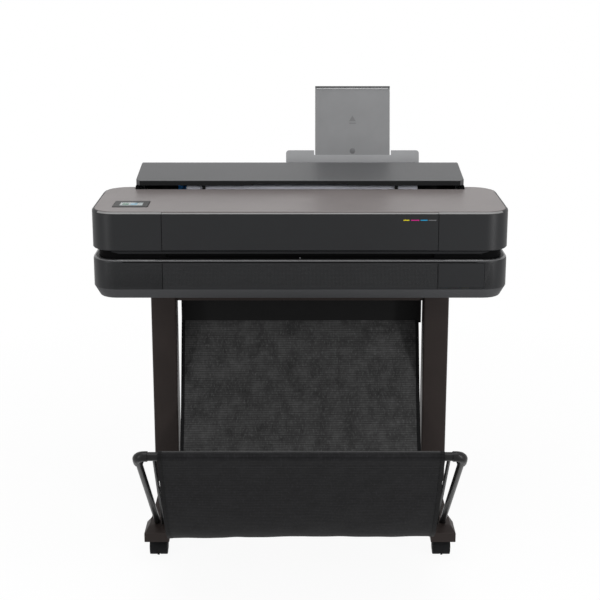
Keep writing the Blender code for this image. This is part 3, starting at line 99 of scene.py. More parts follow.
class NodeSheet:
    """A material's nodes, added one by one and joined by hand."""

    def __init__(self, name: str) -> None:
        """Start a Principled material.

        Args:
            name: The material's name.
        """
        self.material = bpy.data.materials.new(name)
        self.material.use_nodes = True
        self.tree = self.material.node_tree
        self.shader = self.tree.nodes["Principled BSDF"]

    def add(self, kind: str, inputs: dict | None = None, **settings) -> bpy.types.Node:
        """Add a node.

        Args:
            kind: The node's type.
            inputs: Values or output sockets for its inputs, by name or number.
            settings: The node's own properties.

        Returns:
            The new node.
        """
        made = self.tree.nodes.new(kind)
        for key, value in settings.items():
            setattr(made, key, value)
        for key, value in (inputs or {}).items():
            if isinstance(value, bpy.types.NodeSocket):
                self.tree.links.new(value, made.inputs[key])
            else:
                made.inputs[key].default_value = value
        return made

    def place(self, scale: Point = (1, 1, 1), shift: Point = (0, 0, 0), turn: Point = (0, 0, 0),
              source: str = "Object") -> bpy.types.NodeSocket:
        """Object coordinates, or the UV map's, stretched, turned and shifted for a pattern."""
        where = self.add("ShaderNodeTexCoord").outputs[source]
        mapping = self.add("ShaderNodeMapping", {"Vector": where, "Scale": scale, "Location": shift,
                                                 "Rotation": turn})
        return mapping.outputs["Vector"]

    def noise(self, place: bpy.types.NodeSocket, scale: float, detail: float = 2.0,
              roughness: float = 0.5) -> bpy.types.NodeSocket:
        """Cloudy noise at a number of cells a metre."""
        made = self.add("ShaderNodeTexNoise", {"Vector": place, "Scale": scale, "Detail": detail,
                                               "Roughness": roughness})
        return made.outputs["Fac"]

    def math(self, operation: str, a: object, b: object = 0.0, clamp: bool = False) -> bpy.types.NodeSocket:
        """One step of arithmetic on two values or sockets."""
        return self.add("ShaderNodeMath", {0: a, 1: b}, operation=operation, use_clamp=clamp).outputs[0]

    def span(self, value: bpy.types.NodeSocket, low: float, high: float, to_low: float = 0.0,
             to_high: float = 1.0) -> bpy.types.NodeSocket:
        """A value carried from one range to another and held inside it."""
        made = self.add("ShaderNodeMapRange", {"Value": value, "From Min": low, "From Max": high,
                                               "To Min": to_low, "To Max": to_high})
        return made.outputs["Result"]

    def blend(self, share: bpy.types.NodeSocket, first: object, second: object) -> bpy.types.NodeSocket:
        """Two colours mixed by a share from 0 to 1."""
        made = self.add("ShaderNodeMix", data_type="RGBA")
        for socket, value in ((made.inputs[0], share), (made.inputs[6], first), (made.inputs[7], second)):
            if isinstance(value, bpy.types.NodeSocket):
                self.tree.links.new(value, socket)
            else:
                socket.default_value = value if isinstance(value, float) else (*value, 1.0)
        return made.outputs[2]

    def bump(self, height: bpy.types.NodeSocket, strength: float, depth: float,
             over: bpy.types.NodeSocket | None = None) -> bpy.types.NodeSocket:
        """Relief on the surface from a height.

        Args:
            height: The pattern that stands proud.
            strength: How much of it shows, from 0 to 1.
            depth: Its height in metres.
            over: A normal that this relief lies on.

        Returns:
            The new normal.
        """
        made = self.add("ShaderNodeBump", {"Height": height, "Strength": strength, "Distance": depth})
        if over is not None:
            self.tree.links.new(over, made.inputs["Normal"])
        return made.outputs["Normal"]

    def wear(self, socket: str, value: object) -> None:
        """Join a socket to the shader, or set a number or colour on it."""
        target = self.shader.inputs[socket]
        if isinstance(value, bpy.types.NodeSocket):
            self.tree.links.new(value, target)
        else:
            target.default_value = value


def shade(colour: Colour, factor: float) -> Colour:
    """A colour made darker or lighter."""
    return tuple(min(channel * factor, 1.0) for channel in colour)


class Finish:
    """A finish that makes its material once and hands it out."""

    made: dict[str, bpy.types.Material] = {}

    def material(self) -> bpy.types.Material:
        """The finish as a material."""
        if self.name not in Finish.made:
            Finish.made[self.name] = self.build()
        return Finish.made[self.name]

    def build(self) -> bpy.types.Material:
        """Make the material."""
        raise NotImplementedError


@dataclass(frozen=True)
class MouldedPlastic(Finish):
    """Plastic from a spark-textured mould, with slight patches and, on some panels, a lattice of fine dots."""

    name: str
    colour: Colour
    roughness: float = 0.5
    grain: float = 1600.0
    grain_depth: float = 0.00005
    patch: float = 0.06
    gloss: float = 0.2
    dot_pitch: float = 0.0
    dot_depth: float = 0.0005
    dot_band: tuple[float, float] = (0.0, 1.0)
    dot_face: float = 0.0

    def build(self) -> bpy.types.Material:
        """Make the material."""
        sheet = NodeSheet(self.name)
        place = sheet.place()
        patches = sheet.noise(place, 9.0, 4.0, 0.6)
        fine = sheet.noise(place, self.grain, 2.0)
        tone = sheet.blend(sheet.span(patches, 0.3, 0.7), shade(self.colour, 1 - self.patch),
                           shade(self.colour, 1 + self.patch))
        if self.dot_pitch:
            turned = sheet.place((1 / self.dot_pitch,) * 3, turn=(0, math.pi / 4, 0))
            parts = sheet.add("ShaderNodeSeparateXYZ", {0: turned})
            across = sheet.math("COSINE", sheet.math("MULTIPLY", parts.outputs[0], math.tau))
            up = sheet.math("COSINE", sheet.math("MULTIPLY", parts.outputs[2], math.tau))
            dots = sheet.span(sheet.math("MULTIPLY", across, up), 0.1, 0.8)
            flat = sheet.add("ShaderNodeSeparateXYZ", {0: place})
            for axis, test, limit in ((2, "GREATER_THAN", self.dot_band[0]), (2, "LESS_THAN", self.dot_band[1]),
                                      (1, "LESS_THAN", self.dot_face)):
                dots = sheet.math("MULTIPLY", dots, sheet.math(test, flat.outputs[axis], limit))
            tone = sheet.blend(dots, tone, shade(self.colour, 0.3))
        sheet.wear("Base Color", tone)
        sheet.wear("Specular IOR Level", self.gloss)
        sheet.wear("Roughness", sheet.span(fine, 0.3, 0.7, self.roughness - 0.05, self.roughness + 0.06))
        relief = sheet.bump(fine, 0.35, self.grain_depth)
        if self.dot_pitch:
            relief = sheet.bump(sheet.math("SUBTRACT", 1.0, dots), 0.9, self.dot_depth, relief)
        sheet.wear("Normal", relief)
        return sheet.material


@dataclass(frozen=True)
class PowderCoat(Finish):
    """Baked powder paint with a slight orange peel and a few lighter specks."""

    name: str
    colour: Colour
    roughness: float = 0.42
    peel: float = 520.0
    speck: float = 1.35
    gloss: float = 0.2

    def build(self) -> bpy.types.Material:
        """Make the material."""
        sheet = NodeSheet(self.name)
        place = sheet.place()
        peel = sheet.noise(place, self.peel, 1.0)
        patches = sheet.noise(place, 14.0, 3.0)
        specks = sheet.noise(place, 2400.0, 1.0)
        tone = sheet.blend(sheet.span(patches, 0.3, 0.7), shade(self.colour, 0.92), shade(self.colour, 1.08))
        tone = sheet.blend(sheet.span(specks, 0.62, 0.72), tone, shade(self.colour, self.speck))
        sheet.wear("Base Color", tone)
        sheet.wear("Specular IOR Level", self.gloss)
        sheet.wear("Roughness", sheet.span(peel, 0.3, 0.7, self.roughness - 0.05, self.roughness + 0.07))
        sheet.wear("Normal", sheet.bump(peel, 0.25, 0.00008))
        return sheet.material


@dataclass(frozen=True)
class Satin(Finish):
    """A drawn metal with fine lines along one axis."""

    name: str
    colour: Colour
    roughness: float = 0.32
    stretch: Point = (12.0, 900.0, 900.0)

    def build(self) -> bpy.types.Material:
        """Make the material."""
        sheet = NodeSheet(self.name)
        lines = sheet.noise(sheet.place(self.stretch), 1.0, 3.0)
        sheet.wear("Base Color", sheet.blend(sheet.span(lines, 0.3, 0.7), shade(self.colour, 0.85), self.colour))
        sheet.wear("Metallic", 1.0)
        sheet.wear("Roughness", sheet.span(lines, 0.3, 0.7, self.roughness - 0.06, self.roughness + 0.1))
        sheet.wear("Normal", sheet.bump(lines, 0.2, 0.00003))
        return sheet.material


@dataclass(frozen=True)
class Rubber(Finish):
    """Matt rubber with a dusty bloom."""

    name: str
    colour: Colour
    roughness: float = 0.78

    def build(self) -> bpy.types.Material:
        """Make the material."""
        sheet = NodeSheet(self.name)
        place = sheet.place()
        bloom = sheet.noise(place, 60.0, 4.0, 0.6)
        pores = sheet.noise(place, 1900.0, 1.0)
        sheet.wear("Base Color", sheet.blend(sheet.span(bloom, 0.4, 0.75), self.colour, shade(self.colour, 1.8)))
        sheet.wear("Specular IOR Level", 0.15)
        sheet.wear("Roughness", sheet.span(pores, 0.3, 0.7, self.roughness - 0.06, self.roughness + 0.08))
        sheet.wear("Normal", sheet.bump(pores, 0.3, 0.00006))
        return sheet.material


@dataclass(frozen=True)
class RollPaper(Finish):
    """Uncoated paper on a roll: fibre on its face and the wound layers on its ends."""

    name: str
    colour: Colour
    centre: tuple[float, float]
    layer: float = 0.0012

    def build(self) -> bpy.types.Material:
        """Make the material."""
        sheet = NodeSheet(self.name)
        place = sheet.place()
        fibre = sheet.noise(place, 700.0, 4.0, 0.6)
        parts = sheet.add("ShaderNodeSeparateXYZ", {0: sheet.place(shift=(0, -self.centre[0], -self.centre[1]))})
        square = sheet.math("ADD", sheet.math("MULTIPLY", parts.outputs[1], parts.outputs[1]),
                            sheet.math("MULTIPLY", parts.outputs[2], parts.outputs[2]))
        ring = sheet.math("SINE", sheet.math("MULTIPLY", sheet.math("SQRT", square), math.tau / self.layer))
        tone = sheet.blend(sheet.span(ring, -1.0, 1.0), shade(self.colour, 0.9), self.colour)
        tone = sheet.blend(sheet.span(fibre, 0.4, 0.7), tone, shade(self.colour, 1.06))
        sheet.wear("Base Color", tone)
        sheet.wear("Specular IOR Level", 0.2)
        sheet.wear("Roughness", 0.85)
        sheet.wear("Normal", sheet.bump(fibre, 0.2, 0.00004))
        return sheet.material


@dataclass(frozen=True)
class WovenCloth(Finish):
    """Coarse woven nylon on the cloth's own map: ribs across it, threads along it, rubbed and creased patches."""

    name: str
    colour: Colour
    thread: float = 0.0016
    rib: float = 0.0060
    rub: float = 0.55
    sheen: float = 0.04

    def build(self) -> bpy.types.Material:
        """Make the material."""
        sheet = NodeSheet(self.name)
        parts = sheet.add("ShaderNodeSeparateXYZ", {0: sheet.place(source="UV")})
        warp = sheet.math("SINE", sheet.math("MULTIPLY", parts.outputs[0], math.tau / self.thread))
        weft = sheet.math("SINE", sheet.math("MULTIPLY", parts.outputs[1], math.tau / self.rib))
        uneven = sheet.noise(sheet.place((30.0, 2.0 / self.rib, 1.0), source="UV"), 1.0, 2.0)
        ribs = sheet.math("MULTIPLY", weft, sheet.span(uneven, 0.35, 0.65))
        clouds = sheet.noise(sheet.place((1.0, 0.7, 1.0), source="UV"), 26.0, 7.0, 0.68)
        flecks = sheet.noise(sheet.place((1.0, 0.45, 1.0), source="UV"), 210.0, 3.0, 0.7)
        tone = sheet.blend(sheet.span(clouds, 0.34, 0.70), shade(self.colour, 1 - self.rub),
                           shade(self.colour, 1 + self.rub))
        tone = sheet.blend(sheet.span(flecks, 0.52, 0.74), tone, shade(self.colour, 1.9))
        tone = sheet.blend(sheet.span(ribs, -1.0, 0.5, 0.7, 0.0), tone, shade(self.colour, 0.3))
        tone = sheet.blend(sheet.span(warp, -1.0, 1.0, 0.3, 0.0), tone, shade(self.colour, 0.5))
        sheet.wear("Base Color", tone)
        sheet.wear("Specular IOR Level", 0.1)
        sheet.wear("Roughness", 0.9)
        sheet.wear("Sheen Weight", self.sheen)
        sheet.wear("Sheen Roughness", 0.5)
        relief = sheet.bump(warp, 0.3, 0.0001)
        relief = sheet.bump(ribs, 0.5, 0.0003, relief)
        sheet.wear("Normal", sheet.bump(clouds, 0.5, 0.0014, relief))
        return sheet.material


@dataclass(frozen=True)
class Glow(Finish):
    """A lit patch of a display, with a faint dot grid."""

    name: str
    colour: Colour
    strength: float = 0.25
    pitch: float = 0.0006

    def build(self) -> bpy.types.Material:
        """Make the material."""
        sheet = NodeSheet(self.name)
        parts = sheet.add("ShaderNodeSeparateXYZ", {0: sheet.place((math.tau / self.pitch,) * 3)})
        grid = sheet.math("MULTIPLY", sheet.math("SINE", parts.outputs[0]), sheet.math("SINE", parts.outputs[1]))
        tone = sheet.blend(sheet.span(grid, -1.0, 1.0), shade(self.colour, 0.94), self.colour)
        sheet.wear("Base Color", tone)
        sheet.wear("Emission Color", tone)
        sheet.wear("Emission Strength", self.strength)
        sheet.wear("Roughness", 0.18)
        return sheet.material


# Modelling steps

def deselect() -> None:
    """Leave edit mode and clear the selection."""
    if bpy.context.object is not None and bpy.context.object.mode != "OBJECT":
        bpy.ops.object.mode_set(mode="OBJECT")
    bpy.ops.object.select_all(action="DESELECT")


def pick(obj: bpy.types.Object) -> None:
    """Make one object the only one selected, and the active one."""
    deselect()
    obj.select_set(True)
    bpy.context.view_layer.objects.active = obj


def edit(select: bool = True) -> None:
    """Enter edit mode with everything, or nothing, selected."""
    bpy.ops.object.mode_set(mode="EDIT")
    bpy.ops.mesh.select_all(action="SELECT" if select else "DESELECT")


def leave() -> None:
    """Leave edit mode."""
    bpy.ops.object.mode_set(mode="OBJECT")


def choose_faces(obj: bpy.types.Object, test) -> None:
    """Select the faces whose centre and normal pass a test, and nothing else.

    Args:
        obj: A mesh in object mode.
        test: A function of a face's centre and normal.
    """
    for face in obj.data.polygons:
        face.select = test(face.center, face.normal)
    for edge in obj.data.edges:
        edge.select = False
    for vertex in obj.data.vertices:
        vertex.select = False
    for face in obj.data.polygons:
        if face.select:
            for corner in face.vertices:
                obj.data.vertices[corner].select = True


def apply_modifiers(obj: bpy.types.Object) -> None:
    """Apply every modifier of an object in order."""
    pick(obj)
    for modifier in list(obj.modifiers):
        bpy.ops.object.modifier_apply(modifier=modifier.name)


def bevel(obj: bpy.types.Object, width: float, steps: int = 2) -> None:
    """Round an object's sharp edges with an applied modifier."""
    rounding = obj.modifiers.new("edges", "BEVEL")
    rounding.width = width
    rounding.segments = steps
    rounding.limit_method = "ANGLE"
    rounding.angle_limit = SMOOTH
    rounding.use_clamp_overlap = False
    rounding.miter_outer = "MITER_ARC"
    apply_modifiers(obj)


def settle(obj: bpy.types.Object) -> None:
    """Put an object's place into its mesh and smooth its round faces."""
    pick(obj)
    bpy.ops.object.transform_apply(location=True, rotation=True, scale=True)
    bpy.ops.object.shade_smooth_by_angle(angle=SMOOTH)


def wear(obj: bpy.types.Object, finish: Finish) -> None:
    """Give an object one finish all over."""
    obj.data.materials.clear()
    obj.data.materials.append(finish.material())


def finish_piece(obj: bpy.types.Object, name: str, finish: Finish, body: str) -> bpy.types.Object:
    """Name a new piece, dress it and set it on its body.

    Args:
        obj: The modelled piece.
        name: The piece's name.
        finish: What it is made of.
        body: The body it moves with.

    Returns:
        The piece.
    """
    settle(obj)
    obj.name = name
    obj.data.name = name
    wear(obj, finish)
    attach(obj, body)
    LOG.info("%s: %d faces on %s", name, len(obj.data.polygons), body)
    return obj


def plate(low: Point, high: Point, width: float, steps: int = 2) -> bpy.types.Object:
    """A block between two corners with bevelled edges.

    Args:
        low: Its lowest corner.
        high: Its highest corner.
        width: The bevel's width.
        steps: The bevel's segments.

    Returns:
        The block, not yet dressed.
    """
    deselect()
    size = [b - a for a, b in zip(low, high)]
    middle = [(a + b) / 2 for a, b in zip(low, high)]
    bpy.ops.mesh.primitive_cube_add(size=1, location=middle)
    obj = bpy.context.object
    edit()
    bpy.ops.transform.resize(value=size)
    bpy.ops.mesh.bevel(offset=width, segments=steps, affect="EDGES")
    leave()
    return obj


def round_bar(centre: Point, axis: str, radius: float, length: float, segments: int = 32,
              width: float = 0.0) -> bpy.types.Object:
    """A cylinder about an axis through its centre, with bevelled rims."""
    deselect()
    turn = {"X": (0, math.pi / 2, 0), "Y": (math.pi / 2, 0, 0), "Z": (0, 0, 0)}[axis]
    bpy.ops.mesh.primitive_cylinder_add(radius=radius, depth=length, vertices=segments, location=centre,
                                        rotation=turn)
    obj = bpy.context.object
    bpy.ops.object.transform_apply(location=True, rotation=True, scale=True)
    if width:
        bevel(obj, width, 2)
    return obj


def bent_plate(line: list[tuple[float, float]], left: float, right: float, thick: float) -> bpy.types.Object:
    """A plate that follows a line.

    Args:
        line: The line's points in Y and Z.
        left: Where the plate starts across it.
        right: Where it ends.
        thick: Its thickness.

    Returns:
        The plate, not yet dressed.
    """
    deselect()
    steps = len(line) - 1
    bpy.ops.mesh.primitive_grid_add(x_subdivisions=1, y_subdivisions=steps, size=2)
    obj = bpy.context.object
    for vertex in obj.data.vertices:
        y, z = line[round((vertex.co.y + 1) / 2 * steps)]
        vertex.co = (left if vertex.co.x < 0 else right, y, z)
    wall = obj.modifiers.new("thickness", "SOLIDIFY")
    wall.thickness = thick
    wall.offset = 0.0
    apply_modifiers(obj)
    return obj


def joined(objects: list[bpy.types.Object]) -> bpy.types.Object:
    """Several objects joined into the first."""
    deselect()
    for obj in objects:
        obj.select_set(True)
    bpy.context.view_layer.objects.active = objects[0]
    if len(objects) > 1:
        bpy.ops.object.join()
    return bpy.context.object


def copies(obj: bpy.types.Object, places: list[Point]) -> bpy.types.Object:
    """One shape repeated at several shifts and joined, each copy with its own mesh."""
    made = [obj]
    for place in places[1:]:
        pick(obj)
        bpy.ops.object.duplicate()
        twin = bpy.context.object
        twin.location = Vector(place)
        made.append(twin)
    obj.location = Vector(places[0])
    for one in made:
        pick(one)
        bpy.ops.object.transform_apply(location=True, rotation=True, scale=True)
    return joined(made)


def body_of(node: str) -> str:
    """The body that a node rides on."""
    return frame["nodes"][node]["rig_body"]


def copied(node: str) -> bpy.types.Object:
    """A merged copy of a solid, its flat faces joined, ready to be shaped further."""
    obj = bpy.data.objects.new(f"{node}_skin", frame["nodes"][node].data.copy())
    bpy.context.scene.collection.objects.link(obj)
    pick(obj)
    if obj.data.has_custom_normals:
        bpy.ops.mesh.customdata_custom_splitnormals_clear()
    edit()
    bpy.ops.mesh.remove_doubles(threshold=MERGE)
    bpy.ops.mesh.dissolve_limited(angle_limit=FLAT)
    leave()
    return obj


def softened(node: str, finish: Finish, width: float = 0.0006, steps: int = 2) -> bpy.types.Object:
    """A piece with a solid's shape and rounded edges, which stands for it.

    Args:
        node: The solid.
        finish: What the piece is made of.
        width: The bevel's width, or 0 for none.
        steps: The bevel's segments.

    Returns:
        The piece.
    """
    obj = copied(node)
    if width:
        bevel(obj, width, steps)
    finish_piece(obj, f"{node}_skin", finish, body_of(node))
    even_normals(obj)
    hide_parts(node)
    return obj


def even_normals(obj: bpy.types.Object) -> None:
    """Let a piece's large flat faces set the shading of the narrow faces beside them."""
    weighting = obj.modifiers.new("normals", "WEIGHTED_NORMAL")
    weighting.keep_sharp = True
    apply_modifiers(obj)


def second_finish(obj: bpy.types.Object, finish: Finish, span: tuple[float, float], slope: tuple[float, float],
                  front: float = 1.1) -> None:
    """Give a second finish to a piece's sloping faces in a band of heights.

    Args:
        obj: The piece.
        finish: The second finish.
        span: The lowest and highest middle of the faces.
        slope: The least and most upward part of their normals.
        front: The most backward part of their normals.
    """
    obj.data.materials.append(finish.material())
    for face in obj.data.polygons:
        if span[0] < face.center.z < span[1] and slope[0] < face.normal.z < slope[1] and face.normal.y < front:
            face.material_index = len(obj.data.materials) - 1


def dress(node: str, finish: Finish) -> None:
    """Give a solid that stays in view its finish."""
    slots = frame["nodes"][node].material_slots
    for slot in slots:
        slot.material = finish.material()


def facing(node: str, toward: Point) -> tuple[Vector, Vector]:
    """The middle and the outward normal of a solid's largest flat face on one side.

    Args:
        node: The solid.
        toward: The direction that the face looks in.

    Returns:
        The middle of the face and its normal.
    """
    areas: dict[tuple[float, ...], float] = {}
    middles: dict[tuple[float, ...], Vector] = {}
    for face in frame["nodes"][node].data.polygons:
        key = tuple(round(part, 2) for part in face.normal)
        if face.normal.dot(Vector(toward)) > 0.5:
            areas[key] = areas.get(key, 0.0) + face.area
            middles[key] = middles.get(key, Vector()) + face.center * face.area
    best = max(areas, key=areas.get)
    return middles[best] / areas[best], Vector(best).normalized()


def lay(obj: bpy.types.Object, spot: Vector, normal: Vector) -> bpy.types.Object:
    """Turn a piece modelled about the origin, face to -Y, onto a tilted face at a spot."""
    across = Vector((1, 0, 0))
    turn = Matrix((across, -normal, normal.cross(across))).transposed().to_4x4()
    obj.matrix_world = Matrix.Translation(spot) @ turn @ obj.matrix_world
    settle(obj)
    return obj


def row(obj: bpy.types.Object, count: int, step: Point) -> bpy.types.Object:
    """One shape repeated at an even step with an applied array."""
    repeat = obj.modifiers.new("row", "ARRAY")
    repeat.count = count
    repeat.use_relative_offset = False
    repeat.use_constant_offset = True
    repeat.constant_offset_displace = step
    apply_modifiers(obj)
    return obj


def bolts(name: str, spots: list[Point], axis: str, radius: float, finish: Finish) -> None:
    """Bolt heads with a sunk socket that stand on the plotter.

    Args:
        name: The piece's name.
        spots: Where the heads meet their surface.
        axis: The axis they turn about.
        radius: The head's radius.
        finish: What they are made of.
    """
    head = round_bar((0, 0, 0), axis, radius, radius, 12, radius * 0.12)
    choose_faces(head, lambda centre, normal: abs(normal["XYZ".index(axis)]) > 0.99)
    pick(head)
    bpy.ops.object.mode_set(mode="EDIT")
    bpy.ops.mesh.inset(thickness=radius * 0.4, depth=-radius * 0.3)
    leave()
    finish_piece(copies(head, spots), name, finish, Body.PLOTTER.value)


# Finishes of this plotter

CHARCOAL = MouldedPlastic("charcoal_panel", (0.0093, 0.0098, 0.0109), 0.42, gloss=0.25)
SATIN_CHARCOAL = MouldedPlastic("charcoal_bay", (0.0140, 0.0145, 0.0155), 0.5, gloss=0.15)
DOTTED = MouldedPlastic("charcoal_dotted_panel", (0.0093, 0.0098, 0.0109), 0.42, gloss=0.25, dot_pitch=0.0046,
                        dot_band=(0.682, 0.7405), dot_face=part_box("lower_casing")[0].y + 0.004)
BLACK = MouldedPlastic("black_plastic", (0.006, 0.006, 0.0065), 0.5, gloss=0.12)
# Near black with almost no gloss: the own black of the platen, its ribs, the bay cheeks and the socket holes, and
# painted shade on the slot's spacer, the seam and groove strips and the louvre opening.
BLACK_AND_SHADE = MouldedPlastic("slot_black", (0.0022, 0.0022, 0.0024), 0.7, gloss=0.04)
BROW_BLACK = MouldedPlastic("slot_brow", (0.0100, 0.0103, 0.0112), 0.55, gloss=0.1)
STRIP_BLACK = MouldedPlastic("bin_strip_plastic", (0.0082, 0.0082, 0.0084), 0.6, gloss=0.1)
TAUPE = MouldedPlastic("taupe_deck", (0.150, 0.134, 0.132), 0.38, grain_depth=0.00003, gloss=0.3)
# Painted light: the lower casing's downward chamfer in a lighter grey than its front, for the light it takes from
# below.
SKIRT_FLOOR_LIGHT = MouldedPlastic("casing_skirt", (0.050, 0.051, 0.0535), 0.5)
RIM_GREY = MouldedPlastic("rim_chamfer", (0.190, 0.189, 0.189), 0.4, grain_depth=0.00002, gloss=0.3)
# Painted highlight: the sill's rounded top edge is the casing's charcoal painted much lighter for the top light's
# highlight, and made glossier.
SILL_HIGHLIGHT = MouldedPlastic("slot_sill", (0.070, 0.070, 0.072), 0.26, grain_depth=0.00002, gloss=0.6)
# Painted highlight: a light grey on the sill's raised ends, for the brighter highlight there.
SILL_END_HIGHLIGHT = MouldedPlastic("sill_end", (0.200, 0.200, 0.204), 0.35, gloss=0.4)
# Painted light: the hood is the panels' charcoal, painted lighter all over for the sheen of the top light on its top;
# its front faces keep a dark charcoal.
HOOD_SHEEN = MouldedPlastic("hood_plastic", (0.053, 0.054, 0.0562), 0.45, gloss=0.55)
HOOD_LIP = MouldedPlastic("hood_lip_plastic", (0.0105, 0.0108, 0.0115), 0.5, gloss=0.12)
TRAY_GREY = MouldedPlastic("tray_plastic", (0.303, 0.305, 0.312), 0.5)
EXTENDER_GREY = MouldedPlastic("extender_plastic", (0.207, 0.209, 0.213), 0.45)
STATION_GREY = MouldedPlastic("station_plastic", (0.19, 0.19, 0.195), 0.5)
BEZEL = MouldedPlastic("touch_bezel", (0.0125, 0.0118, 0.0112), 0.3, grain_depth=0.00001, gloss=0.06)
BROWN = PowderCoat("brown_powder_coat", (0.0265, 0.0205, 0.0190), gloss=0.12)
# Painted highlight: a light brown on the ridge across each foot, for the light on its top.
RIDGE_HIGHLIGHT_BROWN = PowderCoat("brown_edge_paint", (0.105, 0.090, 0.085), 0.45)
TUBE = PowderCoat("black_tube_paint", (0.0080, 0.0080, 0.0082), 0.32, gloss=0.18)
STEEL = Satin("zinc_plate", (0.55, 0.55, 0.56))
DARK_STEEL = PowderCoat("black_screw_finish", (0.045, 0.045, 0.047), 0.4, gloss=0.3)
RAIL_STEEL = Satin("ground_rail", (0.62, 0.62, 0.63), 0.2)
TYRE = Rubber("caster_rubber", (0.0058, 0.0060, 0.0066))
ROLLER = Rubber("roller_rubber", (0.015, 0.015, 0.016), 0.65)
HUB_BLUE = MouldedPlastic("hub_blue", (0.045, 0.300, 0.80), 0.4)
BOARD = MouldedPlastic("green_board", (0.02, 0.14, 0.06), 0.45)
CLOTH = WovenCloth("bin_cloth_outside", (0.0125, 0.0125, 0.0135), rub=0.3, sheen=0.05)
# Painted light: the same cloth as the outside, painted lighter on the sling's inner faces for the light that falls in
# from above.
LIT_CLOTH_INSIDE = WovenCloth("bin_cloth_inside", (0.058, 0.058, 0.0582), rub=0.5)
# Painted highlight: the cloth painted lighter along the sleeve's top.
SLEEVE_HIGHLIGHT = WovenCloth("bin_sleeve_fold", (0.055, 0.055, 0.056))
HEM = WovenCloth("bin_hem", (0.0085, 0.0085, 0.009), rub=0.3)
THREAD = MouldedPlastic("sewing_thread", (0.040, 0.040, 0.042), 0.8, gloss=0.1)
# Painted shade: a dark grey on the faces along the extender's folded top edge.
EXTENDER_EDGE_SHADE = MouldedPlastic("dark_mark", (0.085, 0.086, 0.088), 0.5)
THUMB_MARK = MouldedPlastic("thumb_mark", (0.125, 0.126, 0.129), 0.5)
FAINT_MARK = MouldedPlastic("faint_mark", (0.150, 0.151, 0.154), 0.5)
# Painted highlight: a pale grey strip under the extender's folded top edge.
EXTENDER_HIGHLIGHT = MouldedPlastic("pale_line", (0.62, 0.625, 0.635), 0.4)
LIGHT_MARK = MouldedPlastic("pale_mark", (0.42, 0.42, 0.43), 0.5)
INKS = {
    "yellow": MouldedPlastic("yellow_ink", (0.62, 0.52, 0.01), 0.4),
    "magenta": MouldedPlastic("magenta_ink", (0.52, 0.01, 0.20), 0.4),
    "cyan": MouldedPlastic("cyan_ink", (0.01, 0.26, 0.48), 0.4),
    "black": MouldedPlastic("black_ink", (0.020, 0.020, 0.021), 0.4),
    "grey": MouldedPlastic("grey_ink", (0.12, 0.12, 0.125), 0.4),
}
SCREEN_PALE = Glow("screen_pale", (0.21, 0.24, 0.245))
SCREEN_GREEN = Glow("screen_green", (0.01, 0.09, 0.045))
SCREEN_BLUE = Glow("screen_blue", (0.09, 0.22, 0.30))


# Sub-assemblies

